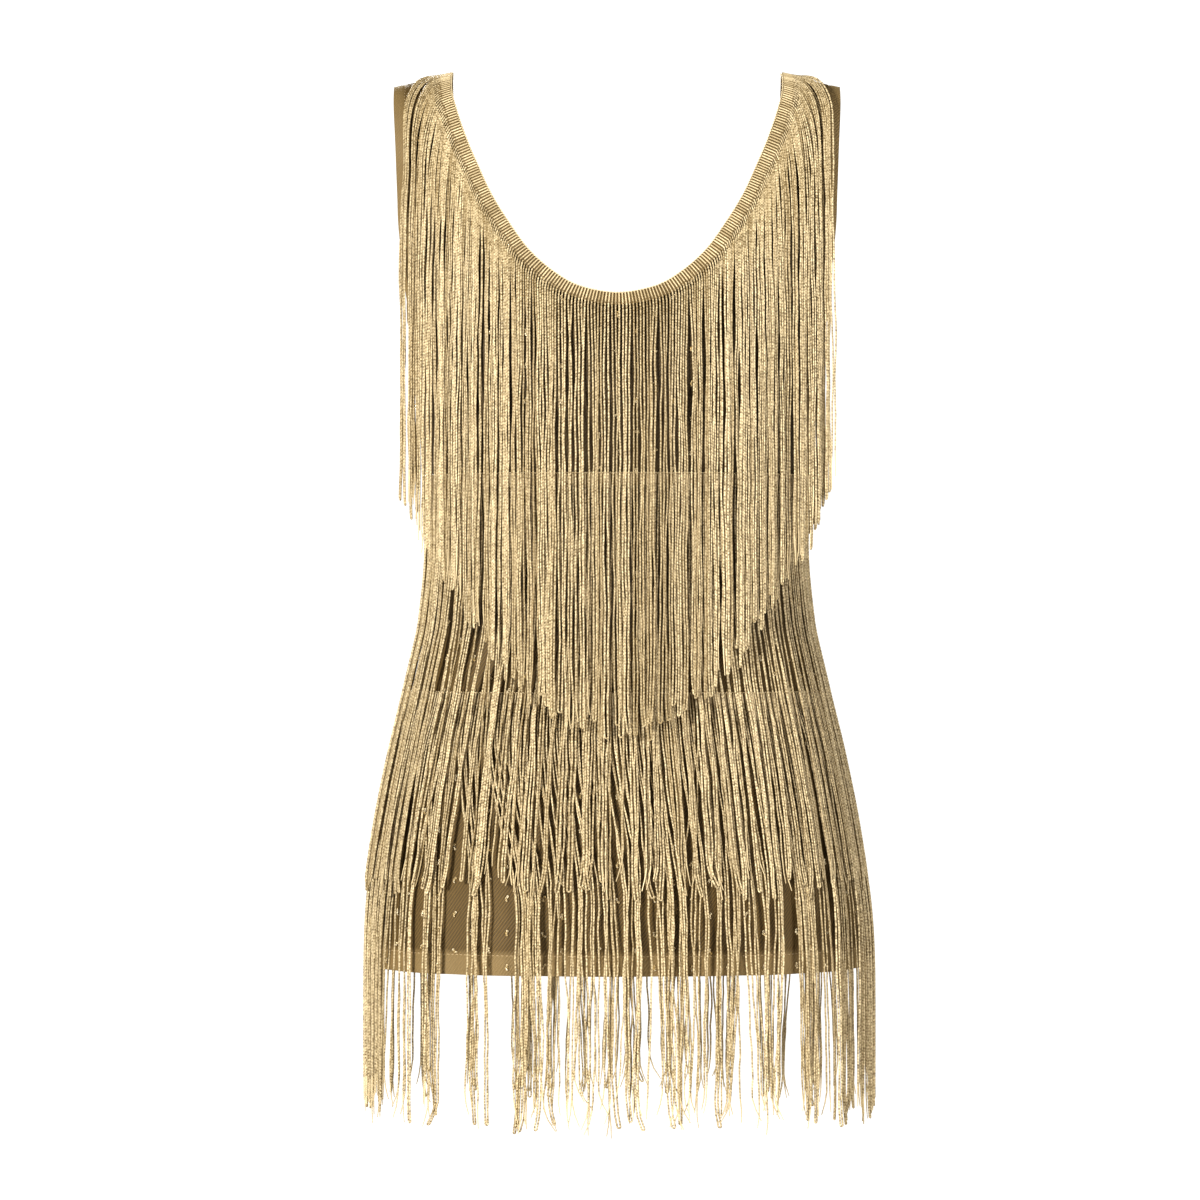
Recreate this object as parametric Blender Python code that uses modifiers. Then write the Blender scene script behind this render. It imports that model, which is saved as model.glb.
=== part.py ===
"""Sleeveless flapper dress with three tiers of long fringe, in the hollow form that it has when it is worn.

Metres, +Z up. The front faces -Y, and the origin is midway between the crests of the two shoulder straps.
The cloth is a front and a back, sewn at the shoulders and the sides. Each tier of fringe is a woven tape
sewn round the dress, with the strands fused to the tape's lower edge and free below it.
"""

import math
from collections import namedtuple
from functools import lru_cache

import bmesh
import bpy
from mathutils import Vector

# Cloth, tape and fringe
CLOTH = 0.0015
SEAM_GAP = 0.0003
TAPE_HEIGHT = 0.009
TAPE_THICKNESS = 0.0017
TAPE_LIFT = 0.0005
TAPE_COLUMN_GAP = 0.009
STRAND_LIFT = 0.0011
LIFTED_WITHIN = 0.010
LAYER_GAP = 0.0009
FRINGE_LAYER = TAPE_THICKNESS + LAYER_GAP

# The cloth's levels, measured down the cloth from the shoulder seam
SHOULDER_ROLL = 0.055
HEM_DROP = 0.640
ROLL_LENGTH = SHOULDER_ROLL * math.pi / 2
HEM_DOWN = HEM_DROP + ROLL_LENGTH - SHOULDER_ROLL
BODY_LEVELS = (
    -HEM_DROP, -0.607, -0.574, -0.541, -0.508, -0.475, -0.442, -0.410,
    -0.380, -0.352, -0.327, -0.303, -0.279, -0.254, -0.231, -0.208,
)  # fmt: skip
NECK_HALF_WIDTH = 0.1184
SHOULDER_SLOPE = 0.21
SLOPE_FADES_BY = 0.160
CHEST_FLATNESS = 0.2

# The worn shape at each level: half its width, and how far the front and the back stand from the middle
Section = namedtuple("Section", "level half_width front back")
SECTIONS = (
    Section(-0.750, 0.178, 0.104, 0.119),
    Section(-0.640, 0.178, 0.104, 0.119),
    Section(-0.590, 0.176, 0.106, 0.121),
    Section(-0.540, 0.169, 0.105, 0.119),
    Section(-0.490, 0.159, 0.102, 0.111),
    Section(-0.440, 0.147, 0.097, 0.099),
    Section(-0.390, 0.136, 0.091, 0.086),
    Section(-0.345, 0.1315, 0.090, 0.079),
    Section(-0.300, 0.136, 0.097, 0.083),
    Section(-0.250, 0.143, 0.108, 0.090),
    Section(-0.210, 0.147, 0.112, 0.094),
    Section(-0.178, 0.151, 0.106, 0.095),
    Section(-0.160, 0.162, 0.100, 0.093),
    Section(-0.139, 0.176, 0.093, 0.091),
    Section(-0.099, 0.196, 0.076, 0.082),
    Section(-0.055, 0.196, 0.058, 0.066),
    Section(0.000, 0.190, 0.050, 0.055),
)

# The scooped neck, from the middle to the shoulder: half its width, and how far down the cloth it lies
NeckPoint = namedtuple("NeckPoint", "half_width down")
FRONT_NECK = (
    NeckPoint(0.0000, 0.1960),
    NeckPoint(0.0250, 0.1915),
    NeckPoint(0.0426, 0.1820),
    NeckPoint(0.0608, 0.1660),
    NeckPoint(0.0753, 0.1460),
    NeckPoint(0.0886, 0.1240),
    NeckPoint(0.0982, 0.1030),
    NeckPoint(0.1065, 0.0830),
    NeckPoint(0.1136, 0.0620),
    NeckPoint(0.1180, 0.0400),
    NeckPoint(NECK_HALF_WIDTH, 0.0),
)
BACK_NECK = (
    NeckPoint(0.0000, 0.2010),
    NeckPoint(0.0310, 0.1950),
    NeckPoint(0.0500, 0.1840),
    NeckPoint(0.0690, 0.1660),
    NeckPoint(0.0835, 0.1460),
    NeckPoint(0.0960, 0.1240),
    NeckPoint(0.1050, 0.1030),
    NeckPoint(0.1120, 0.0830),
    NeckPoint(0.1170, 0.0620),
    NeckPoint(0.1190, 0.0400),
    NeckPoint(NECK_HALF_WIDTH, 0.0),
)

# The armhole, from the side seam to the shoulder: degrees round from the middle, and how far down the cloth
ArmPoint = namedtuple("ArmPoint", "degrees down")
ARMHOLE = (
    ArmPoint(90.0, 0.2095),
    ArmPoint(82.0, 0.2070),
    ArmPoint(75.0, 0.2010),
    ArmPoint(69.0, 0.1935),
    ArmPoint(60.0, 0.1705),
    ArmPoint(52.5, 0.1305),
    ArmPoint(53.5, 0.0864),
    ArmPoint(56.5, 0.0400),
    ArmPoint(57.7, 0.0),
)

# The fringe: length below its tape, how many strands go round, and how wide each one is
NECK_STRAND = 0.303
SHOULDER_STRAND = 0.325
NECK_STRANDS = 68
NECK_STRAND_WIDTH = 0.0068
SHOULDER_SPREAD = 0.1560
SPREAD_POWER = 2.5
FAN_LENGTH = 0.060
BACK_LAYERS_BY = 0.280

# Where the strands part at the hem on the front and the back, and how much wider each gap is there
Parting = namedtuple("Parting", "front_x back_x gap")
HIP_PARTINGS = (
    Parting(-0.1394, -0.1493, 0.007),
    Parting(-0.1133, -0.1212, 0.013),
    Parting(-0.0844, -0.0900, 0.014),
    Parting(-0.0429, -0.0453, 0.009),
    Parting(-0.0082, -0.0078, 0.013),
    Parting(0.0227, 0.0254, 0.008),
    Parting(0.0497, 0.0546, 0.005),
    Parting(0.0854, 0.0930, 0.008),
    Parting(0.1202, 0.1305, 0.008),
    Parting(0.1520, 0.1648, 0.005),
)
WAIST_PARTINGS = (
    Parting(-0.1000, -0.0900, 0.006),
    Parting(-0.0450, -0.0550, 0.007),
    Parting(0.0080, 0.0020, 0.008),
    Parting(0.0560, 0.0640, 0.006),
    Parting(0.1050, 0.1120, 0.006),
)
PARTING_REACH = 0.022
Tier = namedtuple("Tier", "name level strand strands width lift lifted_by partings")
OVER_HIP_FRINGE = STRAND_LIFT + FRINGE_LAYER
WAIST_TIER = Tier("waist_fringe", -0.2894, 0.281, 68, 0.0072, OVER_HIP_FRINGE, -0.425, WAIST_PARTINGS)
HIP_TIER = Tier("hip_fringe", -0.4430, 0.292, 76, 0.0074, STRAND_LIFT, -0.475, HIP_PARTINGS)
TIP_WIDTH_SHARE = 0.8

# Unevenness from strand to strand: its size, and how many radians its two waves turn in one way round
Unevenness = namedtuple("Unevenness", "size waves cross_waves")
LENGTH_CHANGE = Unevenness(0.004, 170, 53)
SWAY = Unevenness(0.0015, 44, 7)

# How finely the pieces are divided
PANEL_COLUMNS = 8
UPPER_ROWS = 13
TABLE_STEPS = 12
GIRTH_SAMPLES = 360
LEVEL_SAMPLES = 16
FINE_STEP = 0.005
EDGE_STEP = 0.002
CURVE_TOLERANCE = 0.0005
SHARP_DEGREES = 50

FRONT, BACK = -1, 1
SMALL = 1e-4


def clear_scene():
    for old in list(bpy.data.objects):
        bpy.data.objects.remove(old)


def new_collection(name):
    made = bpy.data.collections.new(name)
    bpy.context.scene.collection.children.link(made)
    return made


def cloth_material(name, colour, roughness):
    made = bpy.data.materials.new(name)
    made.use_nodes = True
    shader = made.node_tree.nodes["Principled BSDF"]
    shader.inputs["Base Color"].default_value = (*colour, 1)
    shader.inputs["Roughness"].default_value = roughness
    shader.inputs["Metallic"].default_value = 0
    return made


def mix(start, end, share):
    return start + (end - start) * share


def ease(share):
    share = min(max(share, 0), 1)
    return share * share * (3 - 2 * share)


def slope_at(table, column, i):
    """The slope of a column at row i of a table that is ordered by its first column."""
    before, after = max(i - 1, 0), min(i + 1, len(table) - 1)
    rise = getattr(table[after], column) - getattr(table[before], column)
    return rise / (table[after][0] - table[before][0])


def section(column, level):
    """A column of SECTIONS at any level, as one smooth curve through the rows."""
    level = min(max(level, SECTIONS[0].level), SECTIONS[-1].level)
    i = max(k for k in range(len(SECTIONS) - 1) if SECTIONS[k].level <= level)
    low, high = SECTIONS[i], SECTIONS[i + 1]
    span = high.level - low.level
    t = (level - low.level) / span
    bend_low = slope_at(SECTIONS, column, i) * span
    bend_high = slope_at(SECTIONS, column, i + 1) * span
    return (
        getattr(low, column) * (1 + 2 * t) * (1 - t) ** 2
        + bend_low * t * (1 - t) ** 2
        + getattr(high, column) * t * t * (3 - 2 * t)
        - bend_high * t * t * (1 - t)
    )


def drop_of(down):
    """The height lost along a length of cloth, which rolls over the shoulder and then hangs."""
    if down < ROLL_LENGTH:
        return SHOULDER_ROLL * (1 - math.cos(down / SHOULDER_ROLL))
    return down - ROLL_LENGTH + SHOULDER_ROLL


def down_at(level):
    """The length of cloth from the shoulder to a level below the shoulder's roll."""
    return ROLL_LENGTH - SHOULDER_ROLL - level


def depth_share(angle, down):
    """How much of a section's full depth is reached at an angle round from the middle."""
    roll = math.sin(min(down / SHOULDER_ROLL, math.pi / 2))
    return math.cos(angle) * (1 + CHEST_FLATNESS * math.sin(angle) ** 2) * roll


def body_point(side, angle, down):
    """A point of the worn cloth's outer face. The side is FRONT or BACK, and the angle is 0 in the middle."""
    level = -drop_of(down)
    x = section("half_width", level) * math.sin(angle)
    depth = section("front" if side == FRONT else "back", level) * depth_share(angle, down)
    outside_neck = max(0, abs(x) - NECK_HALF_WIDTH)
    fall = SHOULDER_SLOPE * outside_neck * (1 - ease(down / SLOPE_FADES_BY))
    return Vector((x, side * depth, level - fall))


def body_slopes(side, angle, down):
    """How the cloth's point moves for each radian round and each metre down."""
    above = max(down - SMALL, 0)
    below = down + SMALL
    round_body = body_point(side, angle + SMALL, down) - body_point(side, angle - SMALL, down)
    down_body = body_point(side, angle, below) - body_point(side, angle, above)
    return round_body / (2 * SMALL), down_body / (below - above)


def body_normal(side, angle, down):
    """The direction straight out of the cloth."""
    round_body, down_body = body_slopes(side, angle, down)
    return (down_body.cross(round_body) * -side).normalized()


def angle_at(x, down):
    """The angle round from the middle at which the cloth is x to the side, and the side seam's past there."""
    share = x / section("half_width", -drop_of(down))
    return math.asin(min(max(share, -1), 1))


def curve_value(t, before, start, end, after):
    """A Catmull-Rom curve's value a share t of the way from its start value to its end value."""
    turn = 2 * before - 5 * start + 4 * end - after
    twist = 3 * start - before - 3 * end + after
    return 0.5 * (2 * start + (end - before) * t + turn * t * t + twist * t**3)


def smooth_rows(table):
    """Points along one smooth curve through a table's rows, which starts square to the middle or the side."""
    rows = [tuple(row) for row in table]
    mirrored = (2 * rows[0][0] - rows[1][0], rows[1][1])
    last = tuple(2 * a - b for a, b in zip(rows[-1], rows[-2]))
    around = [mirrored, *rows, last]
    curve = []
    for i in range(len(rows) - 1):
        for k in range(TABLE_STEPS):
            curve.append(tuple(curve_value(k / TABLE_STEPS, *values) for values in zip(*around[i : i + 4])))
    return [*curve, rows[-1]]


def neck_curve(side):
    table = FRONT_NECK if side == FRONT else BACK_NECK
    return [(angle_at(half, down), max(down, 0)) for half, down in smooth_rows(table)]


def arm_curve():
    return [(math.radians(min(degrees, 90)), max(down, 0)) for degrees, down in smooth_rows(ARMHOLE)]


def lengths_along(side, curve):
    """The length of cloth from the curve's start to each of its points."""
    points = [body_point(side, angle, down) for angle, down in curve]
    lengths = [0]
    for before, after in zip(points, points[1:]):
        lengths.append(lengths[-1] + (after - before).length)
    return lengths


def place_along(curve, lengths, length):
    """The curve's (angle, down) at a length from its start."""
    length = min(max(length, 0), lengths[-1])
    i = max(k for k in range(len(lengths) - 1) if lengths[k] <= length)
    share = (length - lengths[i]) / (lengths[i + 1] - lengths[i])
    return tuple(mix(a, b, share) for a, b in zip(curve[i], curve[i + 1]))


def mesh_object(name, bm, collection, material):
    mesh = bpy.data.meshes.new(name)
    bm.to_mesh(mesh)
    bm.free()
    mesh.shade_smooth()
    mesh.set_sharp_from_angle(angle=math.radians(SHARP_DEGREES))
    made = bpy.data.objects.new(name, mesh)
    made.data.materials.append(material)
    collection.objects.link(made)
    return made


def panel_row_ends(side):
    """Each row's two ends as (angle, down), from the hem to the shoulder seam."""
    neck, arm = neck_curve(side), arm_curve()
    neck_lengths, arm_lengths = lengths_along(side, neck), lengths_along(side, arm)
    for level in BODY_LEVELS:
        yield (0, down_at(level)), (math.pi / 2, down_at(level))
    for row in range(UPPER_ROWS + 1):
        share = row / UPPER_ROWS
        inner = place_along(neck, neck_lengths, share * neck_lengths[-1])
        yield inner, place_along(arm, arm_lengths, share * arm_lengths[-1])


def panel(name, side, collection, material):
    """The front or the back of the dress: half of its cloth as a wall, open in the middle and mirrored."""
    bm = bmesh.new()
    rows = []
    for (inner_angle, inner_down), (outer_angle, outer_down) in panel_row_ends(side):
        row = []
        for column in range(PANEL_COLUMNS + 1):
            share = column / PANEL_COLUMNS
            place = mix(inner_angle, outer_angle, share), mix(inner_down, outer_down, share)
            face = body_point(side, *place) + Vector((0, side * SEAM_GAP / 2, 0))
            row.append((bm.verts.new(face), bm.verts.new(face - body_normal(side, *place) * CLOTH)))
        rows.append(row)
    for lower, upper in zip(rows, rows[1:]):
        for k in range(PANEL_COLUMNS):
            for layer in (0, 1):
                bm.faces.new((lower[k][layer], lower[k + 1][layer], upper[k + 1][layer], upper[k][layer]))
    outer_edge = [row[-1] for row in rows]
    neck_edge = [row[0] for row in rows[len(BODY_LEVELS) :]]
    for edge in (rows[0], rows[-1], outer_edge, neck_edge):
        for (face, inside), (next_face, next_inside) in zip(edge, edge[1:]):
            bm.faces.new((face, next_face, next_inside, inside))
    bmesh.ops.recalc_face_normals(bm, faces=bm.faces)
    made = mesh_object(name, bm, collection, material)
    mirror = made.modifiers.new("Other half", "MIRROR")
    mirror.merge_threshold = 0.0001
    return made


Corner = namedtuple("Corner", "inner outer")
Column = namedtuple("Column", "top bottom strand")
NO_STRAND = ()


def walled(point, out, lift=0):
    """The inner and outer Corner of tape or strand that stands a lift off the cloth's point."""
    return Corner(point + out * lift, point + out * (lift + TAPE_THICKNESS))


def ringed_fringe(name, columns, collection, material):
    """A closed ring of tape with strands under it.

    Each Column holds the tape's top and bottom Corner there, and the strand that hangs between it and the
    next column: its levels from the tape down, each with a left and a right Corner.
    """
    bm = bmesh.new()

    def two(corner):
        return bm.verts.new(corner.inner), bm.verts.new(corner.outer)

    tops = [two(column.top) for column in columns]
    bottoms = [two(column.bottom) for column in columns]
    for i, column in enumerate(columns):
        j = (i + 1) % len(columns)
        (top_in, top_out), (next_top_in, next_top_out) = tops[i], tops[j]
        (low_in, low_out), (next_low_in, next_low_out) = bottoms[i], bottoms[j]
        bm.faces.new((top_out, low_out, next_low_out, next_top_out))
        bm.faces.new((top_in, next_top_in, next_low_in, low_in))
        bm.faces.new((top_in, top_out, next_top_out, next_top_in))
        ring = (low_in, low_out, next_low_out, next_low_in)
        for left, right in column.strand:
            below = (*two(left), *reversed(two(right)))
            for k in range(4):
                bm.faces.new((ring[k], below[k], below[(k + 1) % 4], ring[(k + 1) % 4]))
            ring = below
        bm.faces.new(ring)
    bmesh.ops.recalc_face_normals(bm, faces=bm.faces)
    return mesh_object(name, bm, collection, material)


def off_line(point, start, end):
    """How far a point lies from the straight line between two others."""
    along = (end - start).normalized()
    away = point - start
    return (away - along * away.dot(along)).length


def is_straight(points):
    """Whether a run of points keeps within CURVE_TOLERANCE of the line between its ends."""
    return all(off_line(point, points[0], points[-1]) < CURVE_TOLERANCE for point in points[1:-1])


def kept_points(points):
    """The fewest of a fine path's points that keep its shape, by number, leaving out the first."""
    kept = []
    start = 0
    while start < len(points) - 1:
        end = start + 1
        while end + 1 < len(points) and is_straight(points[start : end + 2]):
            end += 1
        kept.append(end)
        start = end
    return kept


def uneven(unevenness, turns):
    """A small change, which differs from strand to strand, at a share of the way round."""
    return unevenness.size * math.sin(unevenness.waves * turns) * math.cos(unevenness.cross_waves * turns)


def ring_place(turns):
    """(side, angle) at a share of the way round, from the left side seam along the front."""
    half = turns % 1.0 * 2
    return (FRONT, (half - 0.5) * math.pi) if half < 1 else (BACK, (1.5 - half) * math.pi)


@lru_cache(maxsize=None)
def hung_sizes(tier, level):
    """The half width, front and back that strands hang at: the widest that the dress has been above them."""
    steps = [mix(tier.level, level, k / LEVEL_SAMPLES) for k in range(LEVEL_SAMPLES + 1)]
    return {column: max(section(column, at) for at in steps) for column in ("half_width", "front", "back")}


def hung_point(tier, level, turns):
    """(point, direction out) of the tier's hanging surface at a level and a share of the way round."""
    sizes = hung_sizes(tier, level)

    def at(place):
        side, angle = ring_place(place)
        depth = sizes["front" if side == FRONT else "back"] * depth_share(angle, HEM_DOWN)
        return Vector((sizes["half_width"] * math.sin(angle), side * depth, level))

    along = at(turns + SMALL) - at(turns - SMALL)
    return at(turns), along.cross(Vector((0, 0, 1))).normalized()


def even_turns(tier):
    """Each strand's share of the way round, at equal lengths along the tape, and the whole tape's length."""
    fine = [(k / GIRTH_SAMPLES,) for k in range(GIRTH_SAMPLES + 1)]
    points = [hung_point(tier, tier.level, turns)[0] for (turns,) in fine]
    lengths = [0]
    for before, after in zip(points, points[1:]):
        lengths.append(lengths[-1] + (after - before).length)
    girth = lengths[-1]
    return [place_along(fine, lengths, girth * k / tier.strands)[0] for k in range(tier.strands)], girth


def parted(tier, turns, girth):
    """How far round a strand's tip is moved by the partings on either side of it."""
    half_width = section("half_width", -HEM_DROP)
    shift = 0
    for parting in tier.partings:
        for place in (
            0.25 + math.asin(parting.front_x / half_width) / math.tau,
            0.75 - math.asin(parting.back_x / half_width) / math.tau,
        ):
            away = ((turns - place + 0.5) % 1 - 0.5) * girth
            shift += math.copysign(parting.gap / 2, away) * math.exp(-abs(away) / PARTING_REACH)
    return shift


def tier_strand(tier, middle, girth):
    """A strand's levels: it follows the dress where that widens, and hangs plumb where it narrows."""
    length = tier.strand + uneven(LENGTH_CHANGE, middle)
    steps = math.floor(length / FINE_STEP)
    levels = [tier.level - TAPE_HEIGHT - drop for drop in (*(k * FINE_STEP for k in range(steps)), length)]

    def lift(level):
        return mix(TAPE_LIFT, tier.lift, ease((tier.level - level) / (tier.level - tier.lifted_by)))

    tip_shift = parted(tier, middle, girth) + uneven(SWAY, middle)

    def place(level, edge):
        share = (tier.level - level) / (tier.strand + TAPE_HEIGHT)
        across = tip_shift * share + edge * mix(1, TIP_WIDTH_SHARE, share)
        return hung_point(tier, level, middle + across / girth)

    middles = [walled(*place(level, 0), lift(level)).inner for level in levels]
    strand = []
    for level in (levels[k] for k in kept_points(middles)):
        left, right = (walled(*place(level, edge), lift(level)) for edge in (-tier.width / 2, tier.width / 2))
        strand.append((left, right))
    return strand


def tier_fringe(tier, collection, material):
    """A level ring of tape round the dress with its strands."""
    middles, girth = even_turns(tier)
    columns = []
    for middle in middles:
        half_turn = tier.width / 2 / girth
        for turns, strand in (
            (middle - half_turn, tier_strand(tier, middle, girth)),
            (middle + half_turn, NO_STRAND),
        ):
            levels = tier.level, tier.level - TAPE_HEIGHT
            top, bottom = (walled(*hung_point(tier, level, turns), TAPE_LIFT) for level in levels)
            columns.append(Column(top, bottom, strand))
    return ringed_fringe(tier.name, columns, collection, material)


def below_neck(side, angle, down, along, width):
    """(angle, down) of the cloth's point that lies a width away from the neck's edge, square to it."""
    round_body, down_body = body_slopes(side, angle, down)
    away = along.cross(body_normal(side, angle, down)).normalized()
    if away.dot(down_body) + abs(away.x) * math.copysign(1, away.x * angle) < 0:
        away = -away
    a, b, c = round_body.dot(round_body), round_body.dot(down_body), down_body.dot(down_body)
    p, q = round_body.dot(away) * width, down_body.dot(away) * width
    size = a * c - b * b
    return angle + (p * c - q * b) / size, down + (q * a - p * b) / size


class Neck:
    """The neck's edge on one side of the dress, from the left shoulder to the right, by length of cloth."""

    def __init__(self, side):
        self.side = side
        half = neck_curve(side)
        self.curve = [(-angle, down) for angle, down in reversed(half)] + half[1:]
        self.lengths = lengths_along(side, self.curve)
        self.length = self.lengths[-1]

    def tape(self, length):
        """((angle, down) of the tape's top, the same of its bottom) at a length along the edge."""
        top = place_along(self.curve, self.lengths, length)
        ends = [place_along(self.curve, self.lengths, length + step) for step in (-EDGE_STEP, EDGE_STEP)]
        before, after = (body_point(self.side, *end) for end in ends)
        return top, below_neck(self.side, *top, after - before, TAPE_HEIGHT)

    def column(self, length, strand):
        corners = (
            walled(body_point(self.side, *place), body_normal(self.side, *place), TAPE_LIFT)
            for place in self.tape(length)
        )
        return Column(*corners, strand)

    def near_shoulder(self, length):
        """How close a length along the edge is to a shoulder: 0 in the middle, 1 at either end."""
        return abs(2 * length / self.length - 1) ** SPREAD_POWER

    def hang_x(self, length):
        """How far to the side a strand hangs: under its root, or out over the strap by the shoulder."""
        x = body_point(self.side, *self.tape(length)[1]).x
        shoulder_x = abs(body_point(self.side, *self.tape(0)[1]).x)
        return x + math.copysign((SHOULDER_SPREAD - shoulder_x) * self.near_shoulder(length), x)

    def strand_places(self, count):
        """Lengths along the edge at which strands hang evenly spaced from side to side."""
        fine = [self.length * k / GIRTH_SAMPLES for k in range(GIRTH_SAMPLES + 1)]
        across = [self.hang_x(length) for length in fine]
        for k in range(count):
            wanted = SHOULDER_SPREAD * (2 * (k + 0.5) / count - 1)
            i = max(n for n in range(GIRTH_SAMPLES) if across[n] <= wanted)
            yield mix(fine[i], fine[i + 1], (wanted - across[i]) / (across[i + 1] - across[i]))

    def strand_path(self, root, hang_x, length):
        """(point, direction out) all down a strand, which follows the cloth and hangs where that recedes."""
        start_x = body_point(self.side, *root).x
        layers = 2 * FRINGE_LAYER if self.side == BACK else 0
        fine = []
        fallen = walked = reach = 0
        while walked < length:
            x = mix(start_x, hang_x, 1 - (1 - min(fallen / FAN_LENGTH, 1)) ** 2)
            place = angle_at(x, root[1] + fallen), root[1] + fallen
            drop = drop_of(place[1])
            own_lift = mix(TAPE_LIFT, STRAND_LIFT, ease(fallen / LIFTED_WITHIN))
            lift = own_lift + layers * ease(drop / BACK_LAYERS_BY)
            normal = body_normal(self.side, *place)
            at = body_point(self.side, *place) + normal * lift
            if abs(x) < section("half_width", -drop) and abs(at.y) >= reach:
                out, reach = normal, abs(at.y)
            else:
                out = Vector((out.x, out.y, 0)).normalized()
                at = Vector((x + out.x * lift, self.side * reach, at.z))
            walked += (at - fine[-1][0]).length if fine else 0
            fine.append((at, out))
            fallen += FINE_STEP
        return fine

    def strand(self, middle):
        """A strand's levels from the tape down, each with its left and right Corner."""
        length = mix(NECK_STRAND, SHOULDER_STRAND, self.near_shoulder(middle))
        length += uneven(LENGTH_CHANGE, middle / self.length)
        fine = self.strand_path(self.tape(middle)[1], self.hang_x(middle), length)
        points = [at for at, _ in fine]
        levels = []
        for k in kept_points(points):
            at, out = fine[k]
            along = (points[min(k + 1, len(points) - 1)] - points[k - 1]).normalized()
            right = out.cross(along).normalized()
            right *= math.copysign(1, right.x)
            half = NECK_STRAND_WIDTH / 2 * mix(1, TIP_WIDTH_SHARE, k / len(points))
            levels.append((walled(at - right * half, out), walled(at + right * half, out)))
        return levels


def neck_columns(neck):
    """The tape's columns from the left shoulder to the right, with the strands that hang from it."""
    half = NECK_STRAND_WIDTH / 2
    middles = list(neck.strand_places(NECK_STRANDS // 2))
    starts = [SEAM_GAP, *(middle + half for middle in middles)]
    ends = [*(middle - half for middle in middles), neck.length - SEAM_GAP]
    columns = []
    for start, end, middle in zip(starts, ends, [*middles, None]):
        fills = math.ceil((end - start) / TAPE_COLUMN_GAP)
        columns += [neck.column(mix(start, end, k / fills), NO_STRAND) for k in range(fills)]
        columns.append(neck.column(end, neck.strand(middle) if middle else NO_STRAND))
    return columns


def turned_round(columns):
    """The same tape from its other end, with each strand's left and right changed over."""
    strands = [[(right, left) for left, right in column.strand] for column in columns]
    return [
        Column(column.top, column.bottom, strand)
        for column, strand in zip(reversed(columns), [*reversed(strands[:-1]), NO_STRAND])
    ]


def neck_fringe(collection, material):
    """The tape along the whole neck edge, over both shoulders, with the strands that fall from it."""
    front = neck_columns(Neck(FRONT))
    back = turned_round(neck_columns(Neck(BACK)))
    return ringed_fringe("neck_fringe", front + back, collection, material)


def main():
    clear_scene()
    collection = new_collection("Flapper dress")
    knit = cloth_material("Champagne knit", (0.36, 0.25, 0.12), 0.75)
    rayon = cloth_material("Champagne fringe", (0.62, 0.47, 0.27), 0.45)
    panel("front_panel", FRONT, collection, knit)
    panel("back_panel", BACK, collection, knit)
    neck_fringe(collection, rayon)
    tier_fringe(WAIST_TIER, collection, rayon)
    tier_fringe(HIP_TIER, collection, rayon)


main()
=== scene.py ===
"""Looks of a sleeveless flapper dress: its knit cloth, three tiers of looped fringe, seed beads and sewing.

Metres, +Z up, and the front faces -Y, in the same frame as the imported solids. The shape of the worn cloth and
the places of the tapes are the same named values as in the part's own source.
"""

import math
from collections import namedtuple

import bpy
import numpy as np
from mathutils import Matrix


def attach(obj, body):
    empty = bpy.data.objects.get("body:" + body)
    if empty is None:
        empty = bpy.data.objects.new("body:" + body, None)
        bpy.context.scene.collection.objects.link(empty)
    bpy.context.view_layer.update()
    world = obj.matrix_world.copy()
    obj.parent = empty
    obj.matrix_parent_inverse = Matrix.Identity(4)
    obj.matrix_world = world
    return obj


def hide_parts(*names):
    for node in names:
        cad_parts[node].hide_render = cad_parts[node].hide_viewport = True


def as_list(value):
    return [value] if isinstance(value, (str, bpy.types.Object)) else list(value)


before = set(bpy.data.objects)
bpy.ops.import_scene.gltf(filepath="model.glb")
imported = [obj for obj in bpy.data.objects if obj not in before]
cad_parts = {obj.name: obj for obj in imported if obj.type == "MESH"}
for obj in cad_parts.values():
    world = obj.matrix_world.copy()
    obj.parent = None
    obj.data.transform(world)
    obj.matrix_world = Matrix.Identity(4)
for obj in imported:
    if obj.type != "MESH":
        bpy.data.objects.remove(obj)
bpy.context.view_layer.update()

FRONT, BACK = -1, 1
SMALL = 1e-4
NAMES = {FRONT: "front", BACK: "back"}

# Cloth and tape, as in the solids
TAPE_HEIGHT = 0.009
TAPE_THICKNESS = 0.0017
TAPE_LIFT = 0.0005
STRAND_LIFT = 0.0011
LAYER_GAP = 0.0009
FRINGE_LAYER = TAPE_THICKNESS + LAYER_GAP
SHOULDER_ROLL = 0.055
HEM_DROP = 0.640
ROLL_LENGTH = SHOULDER_ROLL * math.pi / 2
HEM_DOWN = HEM_DROP + ROLL_LENGTH - SHOULDER_ROLL
UNDERARM_LEVEL = -0.208
NECK_HALF_WIDTH = 0.1184
SHOULDER_SLOPE = 0.21
SLOPE_FADES_BY = 0.160
CHEST_FLATNESS = 0.2

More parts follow.
